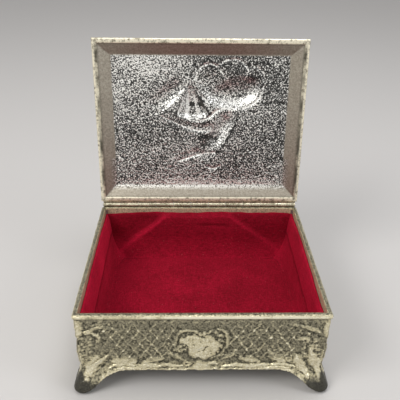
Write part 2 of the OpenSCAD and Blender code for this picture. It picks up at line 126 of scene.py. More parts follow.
def make_camera():
    """The photograph's camera: 400 pixels wide, with its view angle as a focal length in pixels."""
    focal_px, frame_px = 519.3, 400
    yaw, pitch, roll = math.radians(1.32), math.radians(30.06), math.radians(-0.76)
    place = Vector((-6.5, -240.0 + MID_Y, 224.5)) * MM
    ahead = Vector((math.sin(yaw) * math.cos(pitch), math.cos(yaw) * math.cos(pitch), -math.sin(pitch)))
    right = Vector((math.cos(yaw), -math.sin(yaw), 0))
    down = ahead.cross(right)
    rolled_right = math.cos(roll) * right + math.sin(roll) * down
    rolled_down = -math.sin(roll) * right + math.cos(roll) * down
    data = bpy.data.cameras.new("camera")
    data.sensor_width = 36
    data.lens = data.sensor_width * focal_px / frame_px
    data.clip_start, data.clip_end = 0.01, 20
    camera = bpy.data.objects.new("camera", data)
    camera.matrix_world = Matrix((
        (rolled_right.x, -rolled_down.x, -ahead.x, place.x),
        (rolled_right.y, -rolled_down.y, -ahead.y, place.y),
        (rolled_right.z, -rolled_down.z, -ahead.z, place.z),
        (0, 0, 0, 1),
    ))
    bpy.context.scene.collection.objects.link(camera)
    bpy.context.scene.camera = camera


def area_light(name, place, target, size, watts, colour=(1, 1, 1)):
    """A rectangular lamp at place that looks at target, both in metres."""
    data = bpy.data.lights.new(name, "AREA")
    data.shape = "RECTANGLE"
    data.size, data.size_y = size
    data.energy = watts
    data.color = colour
    lamp = bpy.data.objects.new(name, data)
    lamp.location = place
    lamp.rotation_euler = (Vector(target) - Vector(place)).to_track_quat("-Z", "Y").to_euler()
    bpy.context.scene.collection.objects.link(lamp)


def make_world():
    """A pale surround for the camera and for reflections, and a weaker one that lights the object."""
    world = bpy.data.worlds.new("studio")
    bpy.context.scene.world = world
    world.use_nodes = True
    tree = world.node_tree
    tree.nodes.clear()

    def surround(colour, strength):
        node = tree.nodes.new("ShaderNodeBackground")
        node.inputs["Color"].default_value = (*colour, 1)
        node.inputs["Strength"].default_value = strength
        return node.outputs[0]

    def larger(a, b):
        node = tree.nodes.new("ShaderNodeMath")
        node.operation = "MAXIMUM"
        tree.links.new(a, node.inputs[0])
        tree.links.new(b, node.inputs[1])
        return node.outputs[0]

    ray = tree.nodes.new("ShaderNodeLightPath").outputs
    seen = larger(larger(ray["Is Camera Ray"], ray["Is Glossy Ray"]), ray["Is Transmission Ray"])
    mix = tree.nodes.new("ShaderNodeMixShader")
    sources = (seen, surround((1, 0.99, 0.97), 0.42), surround((0.86, 0.85, 0.85), 1))
    for source, socket in zip(sources, mix.inputs):
        tree.links.new(source, socket)
    tree.links.new(mix.outputs[0], tree.nodes.new("ShaderNodeOutputWorld").inputs["Surface"])


def make_stage():
    """A pale floor, three soft lamps and plain colours."""
    half = 6.0
    mesh = bpy.data.meshes.new("floor")
    corners = [(-half, -half, 0), (half, -half, 0), (half, half, 0), (-half, half, 0)]
    mesh.from_pydata(corners, [], [(0, 1, 2, 3)])
    floor = bpy.data.objects.new("floor", mesh)
    bpy.context.scene.collection.objects.link(floor)
    mesh.materials.append(Paint("pale_floor", Base_Color=(0.57, 0.557, 0.552, 1), Roughness=0.7).material)
    area_light("key", (-0.6, -0.4, 0.75), (0, 0, 0.05), (0.5, 0.35), 5.2, (1, 0.98, 0.94))
    area_light("top", (0.15, 0.1, 0.95), (0, 0.02, 0.05), (0.6, 0.4), 3.6)
    area_light("side", (0.75, -0.3, 0.45), (0, 0, 0.06), (0.3, 0.5), 1.6, (0.95, 0.97, 1))
    bpy.context.scene.view_settings.view_transform = "Standard"


# ---- Materials ---------------------------------------------------------------------------

class Paint:
    """A node material with short calls for the nodes that are used here."""

    def __init__(self, name, **sockets):
        self.material = bpy.data.materials.new(name)
        self.material.use_nodes = True
        self.tree = self.material.node_tree
        self.shader = self.tree.nodes["Principled BSDF"]
        self.place = self.tree.nodes.new("ShaderNodeTexCoord").outputs["Object"]
        for socket, value in sockets.items():
            self.shader.inputs[socket.replace("_", " ")].default_value = value

    def link(self, value, socket):
        self.tree.links.new(value, self.shader.inputs[socket])

    def _node(self, kind, inputs, **settings):
        """A node's outputs. Each input is a number, a colour, a vector or another node's output."""
        node = self.tree.nodes.new("ShaderNode" + kind)
        for name, value in settings.items():
            setattr(node, name, value)
        for key, value in inputs.items():
            socket = node.inputs[key]
            if isinstance(value, (int, float)):
                socket.default_value = value
            elif isinstance(value, tuple):
                socket.default_value = (*value, 1)[:len(socket.default_value)]
            else:
                self.tree.links.new(value, socket)
        return node.outputs

    def noise(self, per_mm, detail=2.0, rough=0.5, seed=0.0, warp=0.0, stretch=None):
        """Noise whose grain is about 1 / per_mm millimetres, or finer where stretch is above 1."""
        place = self.place
        if stretch:
            place = self._node("VectorMath", {0: place, 1: stretch}, operation="MULTIPLY")[0]
        inputs = {"Vector": place, "W": seed, "Scale": per_mm / MM, "Detail": detail, "Roughness": rough,
                  "Distortion": warp}
        return self._node("TexNoise", inputs, noise_dimensions="4D")["Fac"]

    def cells(self, per_mm, seed=0.0):
        inputs = {"Vector": self.place, "W": seed, "Scale": per_mm / MM}
        return self._node("TexVoronoi", inputs, voronoi_dimensions="4D")["Distance"]

    def attribute(self, name):
        return self._node("Attribute", {}, attribute_name=name)["Fac"]

    def math(self, operation, a, b):
        return self._node("Math", {0: a, 1: b}, operation=operation)[0]

    def times(self, a, b):
        return self.math("MULTIPLY", a, b)

    def add(self, total, *others):
        for value in others:
            total = self.math("ADD", total, value)
        return total

    def span(self, value, low, high, to_low=0.0, to_high=1.0):
        """value taken from low..high to to_low..to_high, and held there outside."""
        inputs = {"Value": value, "From Min": low, "From Max": high, "To Min": to_low, "To Max": to_high}
        return self._node("MapRange", inputs)["Result"]

    def mix(self, share, a, b):
        return self._node("Mix", {"Factor": share, "A": a, "B": b}, data_type="RGBA")["Result"]

    def bump(self, height, distance_mm, strength=1.0):
        inputs = {"Distance": distance_mm * MM, "Strength": strength, "Height": height}
        self.link(self._node("Bump", inputs)["Normal"], "Normal")


CREAM = (0.68, 0.615, 0.405)
BRIGHT = (0.95, 0.90, 0.70)
KHAKI = (0.275, 0.255, 0.182)
TARNISH = (0.050, 0.047, 0.034)
TARNISH_IN = (0.05, 0.046, 0.033)
WORN = (0.030, 0.030, 0.026)
WORN_LIGHT = (0.10, 0.097, 0.082)


def aged_plate():
    """Silver plate that is rubbed cream where it stands out and tarnished in the hollows, with painted
    highlights.
    """
    paint = Paint("aged_plate", Metallic=0.85)
    raised, hollow, worn = (paint.attribute(name) for name in ("raised", "hollow", "worn"))
    speckle = paint.noise(1.15, 3, 0.7, 1.0)
    fine = paint.noise(2.6, 1, 0.5, 5.0)
    blotch = paint.noise(0.20, 3, 0.6, 2.0)
    pits, pocks = paint.cells(0.9, 3.0), paint.cells(0.40, 6.0)
    wear_and_highlight = paint.add(paint.times(raised, 0.80), paint.span(blotch, 0.3, 0.7, -0.12, 0.26),
                       paint.span(speckle, 0.34, 0.66, -0.40, 0.40), paint.span(fine, 0.3, 0.7, -0.15, 0.15))
    colour = paint.mix(paint.span(wear_and_highlight, 0.12, 0.80), KHAKI, CREAM)
    # the brightest values, from the lip's bead and the lattice's knots, mix in BRIGHT as a painted highlight
    colour = paint.mix(paint.span(wear_and_highlight, 0.90, 1.30), colour, BRIGHT)
    dark = paint.add(paint.times(hollow, 0.8), paint.span(speckle, 0.36, 0.55, 0.5, -0.25),
                     paint.span(pits, 0.06, 0.28, 0.40, 0.0), paint.times(raised, -0.45),
                     paint.span(pocks, 0.10, 0.19, 0.75, 0.0))
    colour = paint.mix(paint.span(dark, 0.15, 1.0), colour, TARNISH)
    grime = paint.add(worn, paint.span(speckle, 0.3, 0.7, -0.3, 0.3), paint.span(blotch, 0.3, 0.7, -0.4, 0.4))
    mottle = paint.mix(paint.span(fine, 0.42, 0.72), WORN, WORN_LIGHT)
    colour = paint.mix(paint.span(grime, 0.25, 0.70, 0.0, 0.94), colour, mottle)
    paint.link(colour, "Base Color")
    paint.link(paint.span(worn, -1.0, 0.0, 0.30, 0.85), "Metallic")       # below 0, the dull inner faces
    paint.link(paint.span(paint.math("SUBTRACT", wear_and_highlight, dark), -0.5, 0.9, 0.60, 0.28), "Roughness")
    paint.bump(paint.add(paint.noise(1.3, 3, 0.7, 4.0), paint.times(speckle, 0.6)), 0.25, 0.8)
    return paint.material


def lid_inside():
    """Bright stippled metal inside the lid's panel with painted glints, satin on the sloping border, rubbed
    on the rim.
    """
    paint = Paint("lid_inside", Metallic=0.72)
    panel, polish, rim, glow, hollow = (paint.attribute(name) for name in
                                        ("panel", "polish", "rim", "glow", "hollow"))
    grain = paint.noise(1.20, 2, 0.6, 11.0)
    fine = paint.noise(2.4, 1, 0.5, 12.0)
    cloud = paint.noise(0.05, 2, 0.5, 13.0)
    # glow adds painted light and shade: more specks where the relief is painted lit, fewer where it is
    # painted shaded
    sparkle = paint.add(grain, paint.span(fine, 0.3, 0.7, -0.04, 0.04),
                        paint.span(cloud, 0.35, 0.65, -0.015, 0.015), paint.times(glow, 0.075))
    # stipple: a dark ground with near-white specks that are painted glints; the smooth parts get the same
    # painted glints below
    stipple = paint.mix(paint.span(sparkle, 0.38, 0.52), (0.026, 0.026, 0.025), (0.105, 0.104, 0.100))
    stipple = paint.mix(paint.span(sparkle, 0.520, 0.540), stipple, (1.0, 0.995, 0.94))
    bright = paint.mix(paint.span(sparkle, 0.42, 0.58), (0.07, 0.068, 0.062), (0.92, 0.92, 0.89))
    brushed, scuffed = paint.noise(0.9, 3, 0.7, 14.0), paint.noise(0.5, 3, 0.7, 15.0)
    satin = paint.mix(paint.span(brushed, 0.35, 0.65), (0.25, 0.222, 0.178), (0.43, 0.395, 0.325))
    wear_and_highlight = paint.mix(paint.span(scuffed, 0.34, 0.52), (0.26, 0.235, 0.17), (0.90, 0.84, 0.66))
    colour = paint.mix(panel, satin, stipple)
    colour = paint.mix(paint.times(polish, 0.85), colour, bright)
    colour = paint.mix(rim, colour, wear_and_highlight)
    # hollow here is painted shade along the rim's inner step, with olive patina on the side rims
    colour = paint.mix(hollow, colour, TARNISH_IN)
    paint.link(colour, "Base Color")
    paint.link(paint.span(panel, 0, 1, 0.42, 0.32), "Roughness")
    rough_face = paint.times(paint.span(panel, 0, 1, 0.15, 0.8), paint.span(polish, 0, 1, 1.0, 0.4))
    paint.bump(paint.times(grain, rough_face), 0.5, 0.7)
    return paint.material


def velvet():
    """Crimson pile: its brushed values make it lighter as painted sheen and darker as painted shade, with a
    little lint.
    """
    paint = Paint("crimson_velvet", Roughness=0.95, Sheen_Weight=0.5, Sheen_Roughness=0.32,
                  Sheen_Tint=(0.9, 0.02, 0.075, 1), Specular_IOR_Level=0.12)
    pile = paint.noise(1.3, 3, 0.75, 21.0)
    weave = paint.add(paint.noise(1.0, 2, 0.6, 25.0, stretch=(0.35, 2.0, 1.0)),
                      paint.noise(1.0, 2, 0.6, 26.0, stretch=(2.0, 0.35, 1.0)))
    nap = paint.noise(0.05, 3, 0.6, 22.0, 0.4)
    shade = paint.add(paint.span(pile, 0.32, 0.68, -0.32, 0.32), paint.span(nap, 0.3, 0.7, 0.3, 0.7),
                      paint.span(weave, 0.75, 1.25, -0.32, 0.32), paint.attribute("brushed"))
    colour = paint.mix(paint.span(shade, 0, 1), (0.13, 0.0008, 0.006), (0.32, 0.004, 0.022))
    # the brightest crimson is painted sheen, on the walls' upper bands and the folds' ridges
    colour = paint.mix(paint.span(shade, 0.9, 2.0), colour, (0.56, 0.008, 0.042))
    lint = paint.span(paint.noise(1.1, 1, 0.5, 24.0), 0.70, 0.76)
    paint.link(paint.mix(paint.times(lint, 0.40), colour, (0.42, 0.11, 0.12)), "Base Color")
    paint.bump(paint.add(pile, paint.noise(3.0, 2, 0.6, 23.0)), 0.18, 0.6)
    return paint.material


def plain_metal(name, light, dark, rough):
    """Metal without ornament, mottled between two colours."""
    paint = Paint(name, Metallic=0.9)
    grain = paint.noise(1.4, 3, 0.7, 31.0)
    blotch = paint.noise(0.25, 3, 0.6, 32.0)
    share = paint.add(paint.span(grain, 0.35, 0.65), paint.span(blotch, 0.3, 0.7, -0.4, 0.4))
    paint.link(paint.mix(paint.span(share, 0.1, 0.9), dark, light), "Base Color")
    paint.link(paint.span(share, 0, 1, rough + 0.12, rough - 0.08), "Roughness")
    paint.bump(grain, 0.12, 0.6)
    return paint.material


def fibrous(name, noise, light, dark, bump, **sockets):
    """Board or wadding: fibres between two colours. noise and bump are those calls' own values."""
    paint = Paint(name, **sockets)
    fibre = paint.noise(*noise)
    paint.link(paint.mix(paint.span(fibre, 0.3, 0.7), dark, light), "Base Color")
    paint.bump(fibre, *bump)
    return paint.material


def fibre_board():
    return fibrous("lining_board", (0.8, 4, 0.7, 41.0, 0.8), (0.46, 0.38, 0.27), (0.30, 0.23, 0.15),
                   (0.1, 0.5), Roughness=0.9)


def cotton_wadding():
    return fibrous("cotton_wadding", (0.6, 5, 0.75, 51.0, 1.2), (0.80, 0.78, 0.72), (0.58, 0.55, 0.48),
                   (0.6, 0.8), Roughness=1.0, Sheen_Weight=0.3)


# ---- Relief: a height map over a flat field ----------------------------------------------

def smooth_line(points, step=0.5):
    """A smooth curve through a few points, as rows of (x, z, width)."""
    p = np.array(points, float)
    if len(p) == 2:
        n = max(2, int(np.hypot(*(p[1] - p[0])[:2]) / step) + 1)
        return p[0] + (p[1] - p[0]) * np.linspace(0, 1, n)[:, None]
    ends = np.vstack([2 * p[0] - p[1], p, 2 * p[-1] - p[-2]])
    rows = []
    for a, b, c, d in zip(ends, ends[1:], ends[2:], ends[3:]):
        n = max(2, int(np.hypot(*(c - b)[:2]) / step))
        t = np.linspace(0, 1, n, endpoint=False)[:, None]
        rows.append(0.5 * (2 * b + (c - a) * t + (2 * a - 5 * b + 4 * c - d) * t**2
                           + (3 * b - a - 3 * c + d) * t**3))
    rows.append(p[-1:])
    line = np.vstack(rows)
    line[:, 2] = np.maximum(line[:, 2], 0.15)
    return line


def blur(field, cells):
    """A Gaussian blur of a 2-D array, cells being its spread."""
    reach = int(3 * cells) + 1
    weights = np.exp(-0.5 * (np.arange(-reach, reach + 1) / cells) ** 2)
    weights /= weights.sum()
    for axis in (0, 1):
        padded = np.pad(field, [(reach, reach) if a == axis else (0, 0) for a in (0, 1)], mode="edge")
        field = np.apply_along_axis(lambda row: np.convolve(row, weights, "valid"), axis, padded)
    return field


def cloud(shape, cells):
    """A random uneven field with grains about this many cells wide and a spread of 1."""
    field = blur(rng.normal(size=shape), cells)
    return field / field.std()


class Relief:
    """Heights in millimetres over x and z, at an even pitch."""

    def __init__(self, x_range, z_range, pitch=0.2):
        self.pitch = pitch
        self.x = np.arange(x_range[0], x_range[1] + pitch, pitch)
        self.z = np.arange(z_range[0], z_range[1] + pitch, pitch)
        self.height = np.zeros((len(self.z), len(self.x)))
        self.form = np.zeros_like(self.height)      # broad swells that the detail lies on
        self.zone = np.zeros_like(self.height)      # where handling has rubbed the plate

    def grid(self):
        return np.meshgrid(self.x, self.z)

    def _window(self, line, margin):
        """The part of the map round a line: its place in the map, and the x and z of its points."""
        low, high = line[:, :2].min(0) - margin, line[:, :2].max(0) + margin
        i = slice(*np.searchsorted(self.z, (low[1], high[1])))
        j = slice(*np.searchsorted(self.x, (low[0], high[0])))
        return (i, j), *np.meshgrid(self.x[j], self.z[i])

    def _near(self, line):
        """The part of the map round a line, and each point's smallest distance in line widths."""
        part, gx, gz = self._window(line, line[:, 2].max() + 0.3)
        best = np.full(gx.shape, 9.0)
        for x, z, width in line:
            best = np.minimum(best, np.hypot(gx - x, gz - z) / width)
        return part, best

    def stroke(self, points, height, power=0.5):
        """A half-round ridge along a curve through (x, z, half width) points."""
        part, share = self._near(smooth_line(points))
        self.height[part] = np.maximum(self.height[part], height * unit(1 - share**2) ** power)

    def groove(self, points, depth):
        """Cuts a rounded groove along a curve."""
        part, share = self._near(smooth_line(points))
        self.height[part] -= depth * unit(1 - share**2)

    def bead(self, x, z, radius, height):
        self.stroke([(x, z, radius), (x + 0.01, z, radius)], height)

    def leaf(self, points, height, lobes=4, vein=0.22):
        """A leaf along a curve through (x, z, half width) points, with a lobed edge and a midrib."""
        line = smooth_line(points)
        line[:, 2] *= 1 - 0.28 * np.abs(np.sin(math.pi * lobes * np.linspace(0, 1, len(line))))
        part, share = self._near(line)
        self.height[part] = np.maximum(self.height[part], height * unit(1 - share**2.4) ** 0.6)
        self.groove([(x, z, 0.28) for x, z, _ in points], vein)

    def ring(self, x, z, radius, width, height):
        self.stroke([(x + radius * math.cos(a), z + radius * math.sin(a), width)
                     for a in np.linspace(0, math.tau, 13)], height)

    def bank(self, points, height, side=1, steep=2.6, fade=9.0):
        """A form that rises steeply from a line and falls off slowly behind it, to the left of the line's
        direction for side=1. Points are (x, z, share of the height)."""
        line = smooth_line(points, 0.4)
        window, gx, gz = self._window(line, steep + fade)
        best, turn, share = np.full(gx.shape, 1e3), np.zeros(gx.shape), np.zeros(gx.shape)
        for (x, z, part), (tx, tz) in zip(line, np.gradient(line[:, :2], axis=0)):
            dx, dz = gx - x, gz - z
            distance = np.hypot(dx, dz)
            near = distance < best
            best[near], turn[near], share[near] = distance[near], (tx * dz - tz * dx)[near], part
        across = np.where(turn * side > 0, best, 0)
        rise = np.sin(math.pi / 2 * unit(across / steep))
        fall = np.cos(math.pi / 2 * unit((across - steep) / fade)) ** 1.5
        form = height * unit((share - 0.15) / 0.85) * rise * fall
        self.height[window] = np.maximum(self.height[window], form)

    def sample(self, x, z):
        """Height at any points, between the map's own."""
        return sample_field(self, self.height + self.form, x, z)


def sample_field(relief, field, x, z):
    """A map's values at any points, between those of its grid."""
    i = np.clip((z - relief.z[0]) / relief.pitch, 0, len(relief.z) - 1.001)
    j = np.clip((x - relief.x[0]) / relief.pitch, 0, len(relief.x) - 1.001)
    i0, j0 = i.astype(int), j.astype(int)
    a, b = i - i0, j - j0
    return ((field[i0, j0] * (1 - b) + field[i0, j0 + 1] * b) * (1 - a)
            + (field[i0 + 1, j0] * (1 - b) + field[i0 + 1, j0 + 1] * b) * a)


def wave(x, z, seed, scale):
    """Slow, uneven waves for cloth: a few sines with fixed random directions."""
    local = np.random.default_rng(seed)
    total = 0
    for _ in range(7):
        angle, phase = local.uniform(0, math.tau, 2)
        k = local.uniform(0.6, 1.6) / scale
        total = total + np.sin(k * (x * math.cos(angle) + z * math.sin(angle)) + phase)
    return total / 7


# ---- Cast walls --------------------------------------------------------------------------

LONG_WALL = 56            # half lengths above this have room for the extra leaves
TUFT_PITCH = 5.2


def apron_z(x, half):
    """Height of a wall's lower edge at x along it."""
    u = unit((np.abs(x) - (half - FOOT_IN - APRON_RUN)) / APRON_RUN)
    ripple = 0.18 * np.sin(np.abs(x) * 3.6) * np.sin(math.pi * unit(u)) ** 2
    curve = APRON_Z * (1 - u**2.5) + ripple * (u < 1)
    sole = 0.62 * (half - SOLE - np.abs(x))           # the sole is shorter than the foot
    return np.maximum(np.maximum(curve, np.minimum(sole, 5.0)), 0)


def flare(z):
    """Outer face of a plain wall, measured out from the lip's line."""
    taper = 0.45 + 0.55 * unit((45 - z) / 29) ** 1.5
    u = unit((NECK_Z - z) / (NECK_Z - TOE_TIP_Z))
    swing = np.sin(math.pi / 2 * u) ** 2 * 0.45 + 0.55 * u**1.4
    foot = -LIP_OUT - taper + (TOE_OUT + LIP_OUT + taper) * swing
    toe = TOE_OUT - 1.2 * (np.clip(TOE_TIP_Z - z, 0, None) / TOE_TIP_Z) ** 2
    return np.where(z >= TOE_TIP_Z, foot, toe)


def lattice(relief, half):
    """Diamond trellis with a floret in each diamond, between the middle and the corners."""
    gx, gz = relief.grid()
    wide, tall = 5.7, 9.0
    a = gx / wide + gz / tall
    b = gx / wide - gz / tall
    scale = 1 / math.hypot(1 / wide, 1 / tall)
    line_a = np.abs(a - np.round(a)) * scale
    line_b = np.abs(b - np.round(b)) * scale
    ribs = np.maximum(unit(1 - (line_a / 0.40) ** 2), unit(1 - (line_b / 0.40) ** 2))
    fa, fb = a - np.floor(a) - 0.5, b - np.floor(b) - 0.5
    px, pz = (fa + fb) * wide / 2, (fa - fb) * tall / 2
    radius, angle = np.hypot(px, pz), np.arctan2(pz, px)
    floret = unit(1 - (radius / (0.8 + 0.4 * np.cos(4 * angle))) ** 2)
    na, nb = a - np.round(a), b - np.round(b)
    knot = unit(1 - (np.hypot((na + nb) * wide / 2, (na - nb) * tall / 2) / 0.70) ** 2)
    zone = unit((half - 12 - np.abs(gx)) / 4) * unit((np.abs(gx) - 12.5) / 2)
    zone *= unit((gz - 20.5) / 2) * unit((45.5 - gz) / 2)
    relief.height += zone * np.maximum(np.maximum(0.34 * ribs, 0.28 * floret), 0.70 * knot)
    # mark: ribs and florets rubbed lighter, and painted highlights as bright dots on the knots where the ribs
    # cross
    thin = np.maximum(unit(1 - line_a / 0.50), unit(1 - line_b / 0.50))
    patchy = 0.8 + 9.1 * blur(rng.normal(size=gx.shape), 7.0) + 4.2 * blur(rng.normal(size=gx.shape), 1.6)
    knots = 2.4 * knot * np.clip(patchy, 0.2, 1.2)
    relief.mark = zone * np.maximum(np.maximum(0.58 * thin, 0.58 * floret) * patchy, knots)
    relief.ground = zone


def corner_work(relief, half, side, leafy):
    """Ornament at a wall's end. Points are (distance in from the corner, z, half width)."""

    def at(*points):
        return [(side * (half - u), z, w) for u, z, w in points]

    gx, gz = relief.grid()
    u = half - side * gx
    relief.form += 0.85 * spot(u - 4, gz - 26, 8.0, 8.5) * (u < 30)
    leg = unit((20 + 0.55 * (gz - 8) - u) / 4) * unit((27.5 - gz) / 4)
    knee = spot(u - 6, gz - 29, 6.0, 6.0)
    top = unit((9 - u) / 4) * unit((gz - 37) / 3)
    relief.zone = np.maximum(relief.zone, np.maximum(np.maximum(0.75 * leg, 0.4 * knee), 0.5 * top))
    if leafy:
        relief.stroke(at((0.6, 47, 1.2), (1.6, 42.5, 2.3), (1.6, 38.6, 1.6), (1.0, 36.4, 0.6)), 0.6, 0.6)
        relief.leaf(at((18.0, 44.0, 0.5), (13, 43.0, 1.4), (8.6, 41.4, 1.8), (5.2, 39.6, 0.8)), 0.6, 1, 0.12)
        relief.groove(at((16.5, 39.8, 0.45), (12, 40.0, 0.6), (7.6, 38.4, 0.6), (4.4, 36.2, 0.5)), 0.4)
        relief.stroke(at((15.5, 34.2, 0.7), (12.8, 35.4, 1.5), (10.4, 34.6, 1.0)), 0.7)
        relief.bead(side * (half - 10.4), 38.4, 0.7, 0.8)
        relief.leaf(at((8.8, 28.4, 0.8), (7, 23, 3), (5.2, 17.6, 3.2), (3.4, 12.6, 2.2), (2.4, 9, 0.8)),
                    0.8, 2, 0.15)
        relief.leaf(at((16.8, 24, 0.6), (14.8, 20.6, 2.3), (12.4, 16.4, 2.9), (9.8, 11.8, 2.2),
                       (8.2, 8.8, 0.7)), 0.75, 2, 0.18)
        relief.groove(at((18.4, 22.8, 0.7), (21.2, 21.6, 0.7), (20.4, 18.0, 0.7), (17.4, 17.6, 0.7)), 0.4)
        relief.ring(side * (half - 18.9), 20.3, 1.2, 0.4, 0.5)
        relief.groove(at((17.6, 17.0, 0.6), (14.0, 13.4, 0.7), (10.6, 10.4, 0.5)), 0.45)
        relief.leaf(at((29.4, 25.6, 0.8), (26.8, 22.6, 2.9), (23.2, 19.4, 1.8)), 0.65, 2, 0.12)
        relief.leaf(at((24.6, 23.6, 0.8), (22.8, 21.4, 1.9), (21.6, 18.6, 1.0)), 0.65, 1, 0.1)
    else:
        relief.stroke(at((0.8, 47, 1.4), (1.9, 43, 2.7), (2.0, 39.4, 2.1), (1.2, 36.4, 0.8)), 0.6, 0.6)
        relief.leaf(at((5, 39.2, 0.6), (9, 41.6, 1.4), (14.3, 43, 1.7), (19.5, 42, 1.4), (23, 39.4, 0.6)),
                    0.6, 1, 0.16)
        relief.stroke(at((6.0, 42.6, 0.3), (10.5, 44.6, 0.5), (16.5, 45.2, 0.4)), 0.4)
        relief.groove(at((1.4, 30.8, 0.8), (2.6, 35.4, 1.0), (6.2, 37.2, 0.8), (10.4, 36.2, 0.5)), 0.55)
        relief.stroke(at((5.6, 38.6, 0.4), (8, 39, 0.8), (10.8, 37.9, 0.9), (12.6, 35.2, 0.8), (12, 33, 0.4)),
                      0.8)
        relief.leaf(at((16.4, 23.4, 0.6), (12.6, 20.4, 1.9), (9, 16.6, 2.5), (6.2, 12.6, 2.3), (4, 8.8, 0.9)),
                    0.7, 1, 0.2)
        relief.leaf(at((10.4, 22.8, 0.8), (7.4, 19.4, 1.9), (5.0, 15.2, 2.0), (3.4, 11.0, 0.9)), 0.6, 2, 0.2)
        relief.groove(at((17.6, 21.6, 0.5), (13.6, 17.0, 0.8), (10.8, 12.6, 0.8), (8.6, 9.6, 0.5)), 0.45)
        relief.stroke(at((17.4, 18.6, 0.9), (23, 19.6, 2.2), (29.4, 18.8, 0.9)), 0.5)
        for tip, wide in (((19.4, 23.2), 2.3), ((24.4, 24.6), 2.7), ((29.4, 22.6), 2.1)):
            foot = 24 + 0.65 * (tip[0] - 24)
            relief.stroke(at((foot, 18.6, wide), ((foot + tip[0]) / 2, 20.8, wide), (*tip, 0.9)), 0.62, 0.6)
    # grains and beads on the knee
    local = np.random.default_rng(int(half) + (5 if leafy else 0))
    for _ in range(70):
        x, z = local.uniform(1.5, 13.0), local.uniform(20.5, 35.5)
        relief.bead(side * (half - x), z, local.uniform(0.4, 0.8), local.uniform(0.25, 0.6))
    for k in range(11):
        relief.bead(side * (half - 1.3 - 0.10 * k), 31.0 - 1.25 * k, 0.55, 0.75)
    # long shallow ridges of the lower band
    apron_scroll = at((15.5, 14.8, 0.5), (20, 16.3, 1.1), (26, 16.6, 1.1), (31, 16.2, 0.8), (38, 15.4, 0.5))
    relief.stroke(apron_scroll, 0.7)
    relief.stroke(at((18.0, 13.9, 0.5), (25, 14.4, 0.8), (34, 14.1, 0.5)), 0.55)
    relief.groove(at((28, 17.6, 0.5), (31, 16.0, 0.7), (32.4, 13.9, 0.6)), 0.45)
    if half > LONG_WALL:
        relief.stroke(at((31.4, 15.2, 1.0), (36.4, 16.0, 1.9), (41.4, 15.2, 1.0)), 0.6)
        relief.leaf(at((34.2, 18.6, 1.0), (38.6, 20.9, 2.6), (43.8, 20.8, 0.9)), 0.65, 2, 0.12)
        relief.stroke(at((41.4, 15.8, 0.8), (46.6, 16.3, 1.2), (53.0, 15.2, 0.6)), 0.7)
        relief.leaf(at((45.8, 25.0, 0.6), (49.4, 23.4, 2.0), (53, 20.8, 0.8)), 0.6, 1, 0.1)
    # short ribs along the apron's curve
    for k in range(20):
        x = half - FOOT_IN - 1.0 - 1.2 * k
        z = float(apron_z(x, half))
        slope = (float(apron_z(x + 0.4, half)) - z) / 0.4
        out = np.array([-slope, 1]) / math.hypot(slope, 1)
        a, b = np.array([x, z]) + 0.55 * out, np.array([x, z]) + 1.9 * out
        relief.stroke([(side * a[0], a[1], 0.52), (side * b[0], b[1], 0.36)], 0.5)


